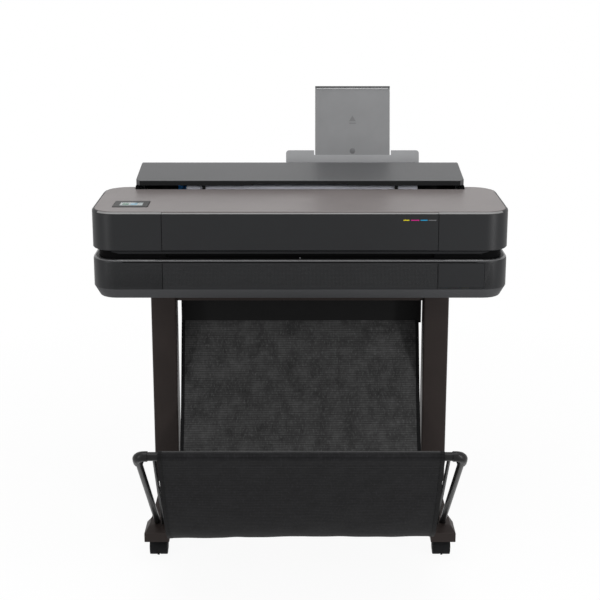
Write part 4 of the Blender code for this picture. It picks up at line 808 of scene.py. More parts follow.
@dataclass
class Casing:
    """The casing's halves, the deck with its touch panel, and the output slot."""

    edge: float = 0.0007
    seam_edge: float = 0.0003
    sill_round: float = 0.0045
    skirt: float = 0.0250
    rim_round: float = 0.0050
    groove_half: float = 0.4250
    groove_drop: float = 0.0046
    sill_end: tuple[float, float] = (0.3480, 0.4380)
    end_back: float = 0.0028
    end_deep: float = 0.0022
    end_rise: float = 0.0022
    groove_width: float = 0.0020
    brow_half: float = 0.4520
    brow_taper: float = 0.964
    brow_drop: float = 0.0068
    seam_width: float = 0.0010
    cheek_span: tuple[float, float] = (0.4145, 0.4236)
    cheek_front: float = 0.1992
    cheek_rise: float = 0.0080
    screen_left: float = -0.4380
    screen_right: float = -0.3830
    screen_front_share: float = 0.21
    screen_back_share: float = 0.71
    film: float = 0.0004
    tick_width: float = 0.0016

    def build(self) -> None:
        """Model and dress every piece of the casing."""
        lower = softened("lower_casing", DOTTED, self.seam_edge, 1)
        foot, sill = (corner.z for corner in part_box("lower_casing"))
        # The sill's rounded top edge is painted lighter as its highlight, and made glossier.
        second_finish(lower, SILL_HIGHLIGHT, (sill - self.sill_round, sill), (0.4, 0.97))
        # The downward chamfer is painted lighter for the light from below.
        second_finish(lower, SKIRT_FLOOR_LIGHT, (foot, foot + self.skirt), (-0.8, -0.2))
        upper = softened("upper_casing", CHARCOAL, self.seam_edge, 1)
        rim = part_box("upper_casing")[1].z
        second_finish(upper, RIM_GREY, (rim - self.rim_round, rim), (0.5, 0.95), -0.45)
        self.sill()
        self.seams()
        softened("top_deck", TAUPE, 0.0022, 3)
        # The slot's spacer gets near-black, unglossy plastic as painted shade of the deep slot.
        softened("slot_spacer", BLACK_AND_SHADE, 0.0)
        self.bay_cheeks()
        self.touch_screen()
        self.slot_tick()

    def seams(self) -> None:
        """The gaps between the end modules and the middle as thin black strips of painted shade, and the brow over the
        slot.
        """
        low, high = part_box("lower_casing")
        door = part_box("front_door")
        brow = plate((-self.brow_half, low.y + 0.0016, door[0].z - 0.0009 - self.brow_drop),
                     (self.brow_half, low.y + 0.0150, door[0].z - 0.0009), 0.0012, 2)
        for vertex in brow.data.vertices:
            if vertex.co.z < 0:
                vertex.co.x *= self.brow_taper
        finish_piece(brow, "slot_brow", BROW_BLACK, Body.PLOTTER.value)
        for side in Side:
            start = side.value * (door[1].x + 0.0004)
            end = start + side.value * self.seam_width
            left, right = min(start, end), max(start, end)
            upper = plate((left, low.y - self.film / 3, door[0].z), (right, low.y + self.film, door[1].z - 0.004),
                          self.film / 6)
            finish_piece(upper, f"upper_seam_{side.name.lower()}", BLACK_AND_SHADE, Body.PLOTTER.value)
            lower = plate((left, low.y - self.film / 3, low.z + 0.0255), (right, low.y + self.film, high.z - 0.0085),
                          self.film / 6)
            finish_piece(lower, f"lower_seam_{side.name.lower()}", BLACK_AND_SHADE, Body.PLOTTER.value)

    def sill(self) -> None:
        """The groove below the slot's sill as a black strip of painted shade, and a raised edge at each of its ends
        painted lighter as the sill's highlight.
        """
        low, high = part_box("lower_casing")
        # A black strip painted as the shade in the groove.
        groove = plate((-self.groove_half, low.y - self.film / 2, high.z - self.groove_drop - self.groove_width),
                       (self.groove_half, low.y + self.film, high.z - self.groove_drop), self.film / 4)
        finish_piece(groove, "sill_groove", BLACK_AND_SHADE, Body.PLOTTER.value)
        for side in Side:
            left, right = sorted(side.value * x for x in self.sill_end)
            # Each end is painted lighter as the sill's brighter highlight there.
            end = plate((left, low.y + self.end_back, high.z - self.end_rise),
                        (right, low.y + self.end_back + self.end_deep, high.z - self.film), self.film)
            finish_piece(end, f"sill_end_{side.name.lower()}", SILL_END_HIGHLIGHT, Body.PLOTTER.value)

    def bay_cheeks(self) -> None:
        """The cheeks that close the gap between the deck and the roll bay's ends."""
        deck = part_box("top_deck")[1]
        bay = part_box("roll_bay")[0]
        for side in Side:
            left, right = sorted(side.value * x for x in self.cheek_span)
            cheek = plate((left, self.cheek_front, deck.z - 0.016), (right, bay.y, deck.z + self.cheek_rise), 0.0006)
            finish_piece(cheek, f"bay_cheek_{side.name.lower()}", BLACK_AND_SHADE, Body.PLOTTER.value)

    def touch_screen(self) -> None:
        """The bezel, the lit screen and its two tiles."""
        low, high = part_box("touch_panel")
        softened("touch_panel", BEZEL, 0.0006, 2)
        depth = high.y - low.y
        front = low.y + depth * self.screen_front_share
        back = low.y + depth * self.screen_back_share
        top = high.z
        screen = plate((self.screen_left, front, top - self.film / 2), (self.screen_right, back, top + self.film / 2),
                       self.film / 4)
        finish_piece(screen, "touch_screen", SCREEN_PALE, Body.PLOTTER.value)
        width = self.screen_right - self.screen_left
        for name, start, end, finish in (("screen_green_tile", 0.10, 0.38, SCREEN_GREEN),
                                         ("screen_blue_tile", 0.46, 0.76, SCREEN_BLUE)):
            tile = plate((self.screen_left + width * start, front + depth * 0.10, top + self.film * 0.3),
                         (self.screen_left + width * end, back - depth * 0.10, top + self.film * 0.8),
                         self.film / 6)
            finish_piece(tile, name, finish, Body.PLOTTER.value)

    def slot_tick(self) -> None:
        """The centre mark on the sill of the output slot."""
        low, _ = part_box("slot_spacer")
        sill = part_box("lower_casing")[1].z
        half = self.tick_width / 2
        tick = plate((-half, low.y - self.film, sill), (half, low.y + self.film, sill + 2 * self.tick_width),
                     self.film / 3)
        finish_piece(tick, "slot_centre_mark", LIGHT_MARK, Body.PLOTTER.value)


@dataclass
class Doors:
    """The front access door with its row of ink colours, and the ink door."""

    rim: float = 0.0050
    dash_height: float = 0.8462
    dash_thick: float = 0.0022
    proud: float = 0.0003
    dash_ends: tuple[tuple[str, float, float], ...] = (
        ("yellow", 0.2455, 0.2600), ("magenta", 0.2640, 0.2835), ("cyan", 0.2860, 0.3030), ("grey", 0.3055, 0.3240))

    def build(self) -> None:
        """Model and dress the doors."""
        door = softened("front_door", CHARCOAL, 0.0003, 1)
        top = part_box("front_door")[1].z
        second_finish(door, RIM_GREY, (top - self.rim, top), (0.5, 0.95), -0.45)
        softened("ink_door", CHARCOAL, 0.0002, 1)
        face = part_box("front_door")[0].y
        for name, left, right in self.dash_ends:
            dash = plate((left, face - self.proud, self.dash_height - self.dash_thick / 2),
                         (right, face + self.proud, self.dash_height + self.dash_thick / 2), self.proud / 2)
            finish_piece(dash, f"{name}_ink_mark", INKS[name], Body.FRONT_DOOR.value)


@dataclass
class Works:
    """What lies inside the casing: chassis, paper feed, carriage drive, ink and electronics."""

    margin: float = 0.0030
    film: float = 0.0002
    lid_rise: float = 0.0014
    pens: int = 4
    rib_step: float = 0.0200
    rib_width: float = 0.0026
    rib_rise: float = 0.0012

    def build(self) -> None:
        """Dress the inner pieces."""
        for node in ("base_plate", "left_side_plate", "right_side_plate", "feed_motor", "carriage_motor",
                     "motor_pulley", "drive_pulley", "idler_pulley"):
            dress(node, STEEL)
        dress("carriage_rail", RAIL_STEEL)
        for node in ("platen", "feed_pulley", "ink_bay"):
            dress(node, BLACK_AND_SHADE if node == "platen" else BLACK)
        for node in ("feed_roller", "pinch_roller", "feed_belt", "carriage_belt"):
            dress(node, ROLLER)
        dress("control_board", BOARD)
        dress("service_station", STATION_GREY)
        for number, ink in enumerate(("cyan", "magenta", "yellow", "black"), 1):
            self.cartridge(f"{ink}_ink_cartridge_{number}", ink)
        self.carriage()
        self.platen_ribs()

    def cartridge(self, node: str, ink: str) -> None:
        """An ink cartridge with a label of its colour."""
        softened(node, BLACK, 0.0010, 2)
        low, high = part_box(node)
        label = plate((low.x + self.margin, low.y - self.film, low.z + 3 * self.margin),
                      (high.x - self.margin, low.y + self.film, high.z - 2 * self.margin), self.film / 2)
        finish_piece(label, f"{ink}_ink_label", INKS[ink], Body.PLOTTER.value)

    def carriage(self) -> None:
        """The print carriage with a lid and the edges of its four pens."""
        softened("carriage", BLACK, 0.0015, 2)
        low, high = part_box("carriage")
        lid = plate((low.x + 2 * self.margin, low.y + 6 * self.margin, high.z - self.film),
                    (high.x - 2 * self.margin, high.y - 4 * self.margin, high.z + self.lid_rise), self.lid_rise / 2)
        finish_piece(lid, "carriage_lid", SATIN_CHARCOAL, Body.CARRIAGE.value)
        width = (high.x - low.x) / self.pens
        pen = plate((low.x + width * 0.12, low.y - self.lid_rise, low.z + 4 * self.margin),
                    (low.x + width * 0.88, low.y + self.film, high.z - 4 * self.margin), self.lid_rise / 2)
        row(pen, self.pens, (width, 0, 0))
        finish_piece(pen, "carriage_pens", SATIN_CHARCOAL, Body.CARRIAGE.value)

    def platen_ribs(self) -> None:
        """The ribs that carry the paper across the platen."""
        low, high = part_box("platen")
        rib = plate((low.x + self.rib_step, low.y + 2 * self.margin, high.z - self.film),
                    (low.x + self.rib_step + self.rib_width, high.y - 2 * self.margin, high.z + self.rib_rise),
                    self.rib_rise / 3, 1)
        row(rib, int((high.x - low.x) / self.rib_step) - 1, (self.rib_step, 0, 0))
        finish_piece(rib, "platen_ribs", BLACK_AND_SHADE, Body.PLOTTER.value)


@dataclass
class Rear:
    """The casing's back: louvres, sockets, inlet pins, ribs and screws."""

    louvre_left: float = 0.0700
    louvre_count: int = 25
    louvre_step: float = 0.0095
    louvre_width: float = 0.0052
    louvre_band: tuple[float, float] = (0.6860, 0.7160)
    proud: float = 0.0013
    film: float = 0.0003
    sockets: tuple[tuple[str, float, float, float], ...] = (
        ("network", -0.3500, 0.0170, 0.0150), ("data", -0.3180, 0.0140, 0.0120))
    socket_rim: float = 0.0020
    pin_step: float = 0.0070
    pin_size: tuple[float, float] = (0.0022, 0.0042)
    pin_length: float = 0.0140
    inlet_wall: float = 0.0030
    rib_ends: tuple[float, float] = (-0.4000, -0.0650)
    rib_low: float = 0.7500
    rib_count: int = 13
    rib_step: float = 0.0082
    rib_thick: float = 0.0030
    screw_radius: float = 0.0038

    def build(self) -> None:
        """Model and dress what is on the back."""
        softened("power_inlet", BLACK, 0.0004)
        self.louvres()
        self.plugs()
        self.pins()
        self.ribs()
        self.screws()

    def louvres(self) -> None:
        """A black plate painted as the shade of the opening, with louvres across it."""
        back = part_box("lower_casing")[1].y
        low, high = self.louvre_band
        right = self.louvre_left + (self.louvre_count - 1) * self.louvre_step + self.louvre_width
        rear = plate((self.louvre_left - self.louvre_width, back - self.film, low),
                     (right + self.louvre_width, back + self.film, high), self.film / 2)
        finish_piece(rear, "louvre_opening", BLACK_AND_SHADE, Body.PLOTTER.value)
        blade = plate((self.louvre_left, back - self.film, low + 0.001),
                      (self.louvre_left + self.louvre_width, back + self.proud, high - 0.001), self.proud / 2)
        row(blade, self.louvre_count, (self.louvre_step, 0, 0))
        finish_piece(blade, "louvres", CHARCOAL, Body.PLOTTER.value)

    def plugs(self) -> None:
        """Two sunk sockets beside the power inlet."""
        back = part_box("lower_casing")[1].y
        low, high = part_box("power_inlet")
        middle = (low.z + high.z) / 2
        for name, left, width, height in self.sockets:
            shell = plate((left, back - self.proud, middle - height / 2),
                          (left + width, back + self.proud, middle + height / 2), self.film)
            choose_faces(shell, lambda centre, normal: normal.y > 0.99)
            pick(shell)
            bpy.ops.object.mode_set(mode="EDIT")
            bpy.ops.mesh.inset(thickness=self.socket_rim, depth=-self.proud)
            leave()
            finish_piece(shell, f"{name}_socket", STEEL, Body.PLOTTER.value)
            rim = self.socket_rim + self.film
            hole = plate((left + rim, back - self.proud, middle - height / 2 + rim),
                         (left + width - rim, back + self.proud / 3, middle + height / 2 - rim), self.film / 2)
            finish_piece(hole, f"{name}_socket_hole", BLACK_AND_SHADE, Body.PLOTTER.value)

    def pins(self) -> None:
        """The three pins at the bottom of the power inlet."""
        low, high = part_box("power_inlet")
        middle = (low + high) / 2
        wide, tall = self.pin_size
        root = low.y + self.inlet_wall - self.film
        pins = []
        for step in (-1, 0, 1):
            x, z = middle.x + step * self.pin_step, middle.z + (tall / 2 if step == 0 else -tall / 4)
            pins.append(plate((x - wide / 2, root, z - tall / 2), (x + wide / 2, root + self.pin_length, z + tall / 2),
                              wide / 5))
        finish_piece(joined(pins), "inlet_pins", STEEL, Body.PLOTTER.value)

    def ribs(self) -> None:
        """Ribs along the open half of the roll bay's back."""
        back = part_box("roll_bay")[1].y
        left, right = self.rib_ends
        rib = plate((left, back - self.film, self.rib_low), (right, back + self.proud, self.rib_low + self.rib_thick),
                    self.proud / 2)
        row(rib, self.rib_count, (0, 0, self.rib_step))
        finish_piece(rib, "bay_ribs", SATIN_CHARCOAL, Body.PLOTTER.value)

    def screws(self) -> None:
        """Screws at the corners of the roll bay's back and along the lower casing's back."""
        bay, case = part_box("roll_bay"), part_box("lower_casing")
        spots = [(x, bay[1].y, z) for x in (-0.4090, 0.4090) for z in (0.7400, 0.8560)]
        spots += [(x, case[1].y, 0.7010) for x in (-0.4300, -0.0400, 0.0400, 0.4300)]
        bolts("rear_screws", spots, "Y", self.screw_radius, DARK_STEEL)


@dataclass
class MediaBay:
    """The roll in its bay under the cover, with two guides in front of the paper."""

    guide_x: float = 0.249
    guide_width: float = 0.0085
    collar: float = 0.0110
    finger_root: float = 0.1984
    finger_reach: float = 0.0148
    finger_rise: float = 0.0058
    paper_line: tuple[tuple[float, float], ...] = (
        (0.2960, 0.8703), (0.2700, 0.8699), (0.2400, 0.8696), (0.2270, 0.8692), (0.2205, 0.8682), (0.2172, 0.8662),
        (0.2156, 0.8632), (0.2150, 0.8590), (0.2148, 0.8400))
    paper_edge: float = 0.0005
    paper_thick: float = 0.0002

    def paper(self) -> RollPaper:
        """The roll's paper, with its layers about the roll's axis."""
        low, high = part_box("paper_roll")
        return RollPaper("roll_paper", (0.74, 0.75, 0.83), ((low.y + high.y) / 2, (low.z + high.z) / 2))

    def build(self) -> None:
        """Model and dress the roll, its bay and its cover."""
        dress("paper_roll", self.paper())
        dress("left_hub", HUB_BLUE)
        dress("spindle", BLACK)
        softened("roll_bay", SATIN_CHARCOAL, 0.0006)
        hood = softened("roll_cover", HOOD_SHEEN, 0.0007, 2)
        low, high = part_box("roll_cover")
        # Only the hood's front faces keep the dark charcoal; the rest is painted lighter for the top light's sheen.
        second_finish(hood, HOOD_LIP, (low.z, high.z), (-0.5, 0.5), -0.75)
        self.leader()
        self.hub_collar()
        self.guides()

    def leader(self) -> None:
        """The paper that runs off the roll's top, forward over a rib and down into the feed."""
        low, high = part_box("paper_roll")
        web = bent_plate(list(self.paper_line), low.x + self.collar + self.paper_edge, high.x - self.paper_edge,
                         self.paper_thick)
        finish_piece(web, "paper_leader", self.paper(), Body.PLOTTER.value)

    def hub_collar(self) -> None:
        """The hub's rim, which laps over the roll's left end."""
        low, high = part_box("paper_roll")
        middle = (low + high) / 2
        collar = round_bar((low.x + self.collar / 2, middle.y, middle.z), "X", (high.z - low.z) / 2 + 0.0006, self.collar,
                           64, 0.0004)
        finish_piece(collar, "hub_collar", HUB_BLUE, Body.MEDIA_ROLL.value)

    def guides(self) -> None:
        """Two black fingers on the deck's rear edge, which turn up in front of the paper."""
        edge, deck = self.finger_root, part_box("top_deck")[1].z
        for side in Side:
            x = side.value * self.guide_x
            left, right = x - self.guide_width / 2, x + self.guide_width / 2
            tab = plate((left, edge, deck - 0.0050), (right, edge + self.finger_reach, deck - 0.0026), 0.0005)
            tip = plate((left, edge + self.finger_reach - 0.0022, deck - 0.0048),
                        (right, edge + self.finger_reach, deck + self.finger_rise), 0.0006)
            finish_piece(joined([tab, tip]), f"paper_finger_{side.name.lower()}", BLACK, Body.PLOTTER.value)


@dataclass
class SheetFeeder:
    """The feeder's base, its tilted tray and the sliding extender, with their moulded marks."""

    inlay: float = 0.00012
    rim_margin: float = 0.0040
    lip: float = 0.0050
    highlight_band: tuple[float, float] = (0.0058, 0.0084)
    arrow_drop: float = 0.0910
    arrow_size: float = 0.0105
    knob_drop: float = 0.1775
    knob_radius: float = 0.0075
    tick_left: float = 0.226
    tick_step: float = 0.0130
    tick_drop: float = 0.0235

    def build(self) -> None:
        """Model and dress the feeder."""
        softened("feeder_base", SATIN_CHARCOAL, 0.001)
        softened("sheet_tray", TRAY_GREY, 0.0006)
        extender = softened("tray_extender", EXTENDER_GREY, 0.0006)
        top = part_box("tray_extender")[1].z
        # The faces along the extender's top edge are painted dark as the fold's shade.
        second_finish(extender, EXTENDER_EDGE_SHADE, (top - self.lip, top), (-1.1, 1.1), 0.3)
        self.extender_highlight()
        self.extender_marks()
        self.tray_ticks()

    def spot(self, node: str, x: float, drop: float) -> tuple[Vector, Vector]:
        """A point on a tilted plate's front face, at a distance below its top edge.

        Args:
            node: The plate.
            x: The place across it.
            drop: The distance along the face from its top edge.

        Returns:
            The point and the face's normal.
        """
        middle, normal = facing(node, (0, -1, 0))
        up = normal.cross(Vector((1, 0, 0)))
        top = middle + up * ((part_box(node)[1].z - middle.z) / up.z)
        point = top - up * drop
        return Vector((x, point.y, point.z)), normal

    def bar(self, node: str, ends: tuple[float, float], drops: tuple[float, float]) -> bpy.types.Object:
        """A thin bar let into a tilted plate's face, between two places across and down it."""
        where, normal = self.spot(node, sum(ends) / 2, sum(drops) / 2)
        wide, high = (ends[1] - ends[0]) / 2, (drops[1] - drops[0]) / 2
        return lay(plate((-wide, -self.inlay, -high), (wide, 4 * self.inlay, high), self.inlay / 2, 1), where, normal)

    def extender_highlight(self) -> None:
        """A pale strip under the extender's folded top edge, painted as the fold's highlight."""
        low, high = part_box("tray_extender")
        line = self.bar("tray_extender", (low.x + self.rim_margin, high.x - self.rim_margin), self.highlight_band)
        finish_piece(line, "extender_line", EXTENDER_HIGHLIGHT, Body.EXTENDER.value)

    def extender_marks(self) -> None:
        """An arrow that points up over a bar, and the round thumb mark near the tray."""
        low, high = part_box("tray_extender")
        middle = (low.x + high.x) / 2
        size = self.arrow_size
        deselect()
        bpy.ops.mesh.primitive_circle_add(vertices=3, radius=size, fill_type="NGON")
        arrow = bpy.context.object
        edit()
        bpy.ops.mesh.extrude_region_move(TRANSFORM_OT_translate={"value": (0, 0, 4 * self.inlay)})
        bpy.ops.mesh.select_all(action="SELECT")
        bpy.ops.mesh.normals_make_consistent(inside=False)
        leave()
        arrow.rotation_euler = (math.pi / 2, 0, 0)
        settle(arrow)
        arrow.location = (0, 3 * self.inlay, 0)
        settle(arrow)
        where, normal = self.spot("tray_extender", middle, self.arrow_drop)
        lay(arrow, where, normal)
        bar = self.bar("tray_extender", (middle - size * 0.87, middle + size * 0.87),
                       (self.arrow_drop + size * 0.9, self.arrow_drop + size * 1.15))
        finish_piece(joined([arrow, bar]), "extender_arrow", FAINT_MARK, Body.EXTENDER.value)
        where, normal = self.spot("tray_extender", middle, self.knob_drop)
        knob = round_bar((0, 2.2 * self.inlay, 0), "Y", self.knob_radius, 5 * self.inlay, 32, self.inlay / 8)
        finish_piece(lay(knob, where, normal), "extender_thumb_mark", THUMB_MARK, Body.EXTENDER.value)

    def tray_ticks(self) -> None:
        """A row of size ticks at the tray's right, on a faint line."""
        ticks = []
        for i in range(7):
            x = self.tick_left + i * self.tick_step
            tall = 0.0060 if i % 3 == 0 else 0.0036
            ticks.append(self.bar("sheet_tray", (x, x + 0.0016), (self.tick_drop - tall, self.tick_drop)))
        ticks.append(self.bar("sheet_tray", (self.tick_left, self.tick_left + 6 * self.tick_step + 0.0016),
                              (self.tick_drop + 0.0006, self.tick_drop + 0.0014)))
        finish_piece(joined(ticks), "tray_size_ticks", FAINT_MARK, Body.PLOTTER.value)


@dataclass
class Stand:
    """Legs, feet and brace, with their casters."""

    corners: tuple[str, ...] = ("front_left", "front_right", "rear_left", "rear_right")
    shaft_half: float = 0.3833
    flange: float = 0.0045
    bolt_radius: float = 0.0052
    cap_radius: float = 0.0125
    cap_proud: float = 0.0012
    fender_gap: float = 0.0020
    fender_thick: float = 0.0012
    fender_inset: float = 0.0010
    fender_turn: tuple[float, float] = (-18.0, 150.0)
    fender_steps: int = 18
    ridge_margin: float = 0.0118
    ridge_front: float = -0.0840
    ridge_deep: float = 0.0035
    ridge_rise: float = 0.0018

    def build(self) -> None:
        """Model and dress the stand."""
        for node in ("left_leg", "right_leg", "cross_brace"):
            softened(node, BROWN, 0.0006)
        for node in ("left_foot", "right_foot"):
            softened(node, BROWN, 0.0012, 2)
        for corner in self.corners:
            softened(f"{corner}_fork", BLACK, 0.0012, 2)
            softened(f"{corner}_wheels", TYRE, 0.0012, 2)
            self.hub_caps(corner)
            self.fender(corner)
        self.foot_ridges()
        self.leg_bolts()

    def leg_bolts(self) -> None:
        """The bolts that hold the brace to the legs and the legs to the casing."""
        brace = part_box("cross_brace")
        for side in Side:
            name = side.name.lower()
            low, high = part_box(f"{name}_leg")
            out, y = side.value * self.shaft_half, (brace[0].y + brace[1].y) / 2
            spots = [(out, y, brace[0].z + 0.012), (out, y, brace[1].z - 0.012)]
            bolts(f"{name}_brace_bolts", spots, "X", self.bolt_radius, DARK_STEEL)
            spots = [(x, y, high.z - self.flange) for x in (low.x + 0.010, high.x - 0.010)
                     for y in (low.y + 0.012, high.y - 0.012)]
            bolts(f"{name}_flange_bolts", spots, "Z", self.bolt_radius, DARK_STEEL)

    def hub_caps(self, corner: str) -> None:
        """The caps on the outer faces of a caster's two wheels."""
        low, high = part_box(f"{corner}_wheels")
        middle = (low + high) / 2
        caps = []
        for x in (low.x, high.x):
            cap = round_bar((x, middle.y, middle.z), "X", self.cap_radius, 2 * self.cap_proud, 36, self.cap_proud / 2)
            choose_faces(cap, lambda centre, normal: abs(normal.x) > 0.99)
            pick(cap)
            bpy.ops.object.mode_set(mode="EDIT")
            bpy.ops.mesh.inset(thickness=self.cap_radius * 0.3, depth=-self.cap_proud * 0.6)
            leave()
            caps.append(cap)
        finish_piece(joined(caps), f"{corner}_hub_caps", BLACK, f"{corner}_wheels")

    def fender(self, corner: str) -> None:
        """The curved guard over the front of a caster's wheels."""
        low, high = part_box(f"{corner}_wheels")
        middle = (low + high) / 2
        radius = (high.z - low.z) / 2 + self.fender_gap
        start, end = self.fender_turn
        line = []
        for i in range(self.fender_steps + 1):
            turn = math.radians(start + (end - start) * i / self.fender_steps)
            line.append((middle.y - radius * math.cos(turn), middle.z + radius * math.sin(turn)))
        guard = bent_plate(line, low.x + self.fender_inset, high.x - self.fender_inset, self.fender_thick)
        finish_piece(guard, f"{corner}_fender", TYRE, f"{corner}_fork")

    def foot_ridges(self) -> None:
        """The raised ridge across each foot, just behind its front caster, painted lighter as its highlight."""
        for side in Side:
            low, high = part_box(f"{side.name.lower()}_foot")
            ridge = plate((low.x + self.ridge_margin, self.ridge_front, high.z - 0.0004),
                          (high.x - self.ridge_margin, self.ridge_front + self.ridge_deep, high.z + self.ridge_rise),
                          0.0005)
            finish_piece(ridge, f"{side.name.lower()}_foot_ridge", RIDGE_HIGHLIGHT_BROWN, Body.PLOTTER.value)


@dataclass
class Bin:
    """The bin's bar, arms, stays and strip, and the fabric sling between bar and strip."""

    front_edges: tuple[float, float] = (-0.3068, 0.3118)
    back_edges: tuple[float, float] = (-0.3120, 0.3130)
    thick: float = 0.0012
    sleeve_turn: tuple[float, float] = (-50.0, 205.0)
    sleeve_gap: float = 0.0011
    sleeve_steps: int = 26
    free_steps: int = 150
    columns: int = 110
    fold: tuple[float, float] = (-0.3027, 0.150)
    floor: tuple[float, float] = (-0.1267, 0.112)
    back: tuple[float, float] = (0.0643, 0.202)
    hitch: tuple[float, float] = (0.0025, 0.0070)
    tuck: float = 0.012
    hem: float = 0.0085
    hem_thick: float = 0.0026
    stitch_step: float = 0.0040
    highlight_wide: float = 0.0060

    def build(self) -> None:
        """Model and dress the bin."""
        for node in ("bin_bar", "bin_left_arm", "bin_right_arm", "bin_left_stay", "bin_right_stay"):
            softened(node, TUBE, 0.0)
        softened("bin_strip", STRIP_BLACK, 0.0008)
        self.sling()

    def path(self) -> list[Vector]:
        """The sling's middle line in Y and Z, from the sleeve's hem to the strip."""
        low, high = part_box("bin_bar")
        bar = Vector(((low.y + high.y) / 2, (low.z + high.z) / 2))
        radius = (high.z - low.z) / 2 + self.sleeve_gap
        start, end = (math.radians(turn) for turn in self.sleeve_turn)
        points = []
        for i in range(self.sleeve_steps + 1):
            turn = start + (end - start) * i / self.sleeve_steps
            points.append(bar + radius * Vector((math.cos(turn), math.sin(turn))))
        strip_low, strip_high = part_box("bin_strip")
        top = Vector((strip_high.y + self.thick / 2 + 0.0003, strip_low.z + self.tuck))
        knots = [points[-1], Vector(self.fold), Vector(self.floor), Vector(self.back), top]
        padded = [2 * knots[0] - knots[1], *knots, 2 * knots[-1] - knots[-2]]
        spans = len(knots) - 1
        for i in range(1, self.free_steps + 1):
            place = min(i * spans / self.free_steps, spans - 1e-9)
            k = int(place)
            t = place - k
            a, b, c, d = padded[k:k + 4]
            points.append(0.5 * (2 * b + (c - a) * t + (2 * a - 5 * b + 4 * c - d) * t ** 2
                                 + (3 * b - a - 3 * c + d) * t ** 3))
        return points

    def across(self, share: float, along: float) -> float:
        """A place across the cloth, which is a little wider at the back than at the bar.

        Args:
            share: 0 at the left edge, 1 at the right.
            along: 0 at the sleeve, 1 at the strip.

        Returns:
            The place in X.
        """
        left, right = (a + (b - a) * along for a, b in zip(self.front_edges, self.back_edges))
        return left + (right - left) * share

    def crease(self, x: float, run: float, slack: float) -> float:
        """How far the cloth stands off its middle line.

        Args:
            x: The place across the cloth.
            run: The distance along it from the sleeve's hem.
            slack: 0 where it is held, 1 where it hangs free.

        Returns:
            The offset in metres.
        """
        soft = noise.noise(Vector((x * 5.0, run * 4.0, 0.3)))
        fine = noise.noise(Vector((x * 17.0, run * 13.0, 2.1)))
        pull = noise.noise(Vector((x * 26.0, run * 3.0, 5.7)))
        return slack * (0.0030 * soft + 0.0014 * fine + 0.0008 * pull)

    def sheet_mesh(self, name: str, edges: tuple[float, float], columns: int, thick: float) -> bpy.types.Object:
        """A strip of the sling, from one share of its width to another, with its map in metres.

        Args:
            name: The piece's name.
            edges: Where it starts and ends across the sling, from 0 to 1.
            columns: How many faces it has across.
            thick: Its thickness.

        Returns:
            The strip, thickened.
        """
        path = self.path()
        runs = self.runs(path)
        total = runs[-1]
        held = runs[self.sleeve_steps]
        deselect()
        bpy.ops.mesh.primitive_grid_add(x_subdivisions=columns, y_subdivisions=len(path) - 1, size=2)
        cloth = bpy.context.object
        cloth.name = name
        mesh = cloth.data
        for vertex in mesh.vertices:
            line = round((vertex.co.y + 1) / 2 * (len(path) - 1))
            share = edges[0] + (edges[1] - edges[0]) * (vertex.co.x + 1) / 2
            x = self.across(share, runs[line] / total)
            along = (path[min(line + 1, len(path) - 1)] - path[max(line - 1, 0)]).normalized()
            free = max(runs[line] - held, 0.0) / (total - held)
            slack = math.sin(math.pi * free) ** 0.7
            offset = self.crease(x, runs[line], slack)
            point = path[line] + Vector((-along.y, along.x)) * offset
            left, right = self.hitch
            vertex.co = (x, point.x, point.y + slack * (left + (right - left) * share))
        for loop in mesh.loops:
            line = loop.vertex_index // (columns + 1)
            mesh.uv_layers[0].data[loop.index].uv = (mesh.vertices[loop.vertex_index].co.x, runs[line])
        wall = cloth.modifiers.new("thickness", "SOLIDIFY")
        wall.thickness = thick
        wall.offset = 0.0
        apply_modifiers(cloth)
        return cloth

    @staticmethod
    def runs(path: list[Vector]) -> list[float]:
        """The distance along the sling's middle line at each of its points."""
        found = [0.0]
        for before, after in zip(path, path[1:]):
            found.append(found[-1] + (after - before).length)
        return found

    def sling(self) -> None:
        """The sling as one sheet whose inner faces are painted lighter for the light from above, with its two hems and
        the stitches under the sleeve.
        """
        path = self.path()
        cloth = self.sheet_mesh("bin_sling", (0.0, 1.0), self.columns, self.thick)
        finish_piece(cloth, "bin_sling", CLOTH, Body.PLOTTER.value)
        # The inner faces take the lighter copy of the cloth, painted for the light from above.
        cloth.data.materials.append(LIT_CLOTH_INSIDE.material())
        hollow = Vector((0.0, (self.fold[0] + self.floor[0]) / 2, 0.3))
        for face in cloth.data.polygons:
            inside = face.normal.dot(Vector((0.0, hollow.y - face.center.y, hollow.z - face.center.z))) > 0
            face.material_index = int(inside)
        width = (self.front_edges[1] - self.front_edges[0] + self.back_edges[1] - self.back_edges[0]) / 2
        share = self.hem / width
        for side, edges in ((Side.LEFT, (-0.001, share)), (Side.RIGHT, (1.0 - share, 1.001))):
            hem = self.sheet_mesh(f"bin_hem_{side.name.lower()}", edges, 3, self.hem_thick)
            finish_piece(hem, f"bin_hem_{side.name.lower()}", HEM, Body.PLOTTER.value)
        self.stitches(path[self.sleeve_steps + 3])
        self.sleeve_fold()
        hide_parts("bin_cloth")

    def sleeve_fold(self) -> bpy.types.Object:
        """A thin strip along the sleeve's top, painted lighter as its highlight."""
        low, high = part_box("bin_bar")
        top, middle = high.z + self.sleeve_gap + self.thick / 2, (low.y + high.y) / 2
        left, right = self.front_edges
        # The strip is painted as the highlight along the sleeve's top.
        fold = plate((left + self.hem, middle - self.highlight_wide / 2, top - self.thick),
                     (right - self.hem, middle + self.highlight_wide / 2, top + 0.0003), 0.0003)
        return finish_piece(fold, "sleeve_fold", SLEEVE_HIGHLIGHT, Body.PLOTTER.value)

    def stitches(self, where: Vector) -> bpy.types.Object:
        """The row of stitches that closes the sleeve under the bar."""
        left, right = self.front_edges
        count = int((right - left - 2 * self.hem) / self.stitch_step)
        face = where.x - self.thick / 2
        stitch = plate((left + self.hem, face - 0.0005, where.y - 0.0004),
                       (left + self.hem + self.stitch_step * 0.6, face + 0.0002, where.y + 0.0004), 0.0002, 1)
        return finish_piece(row(stitch, count, (self.stitch_step, 0, 0)), "sleeve_stitches", THREAD, Body.PLOTTER.value)


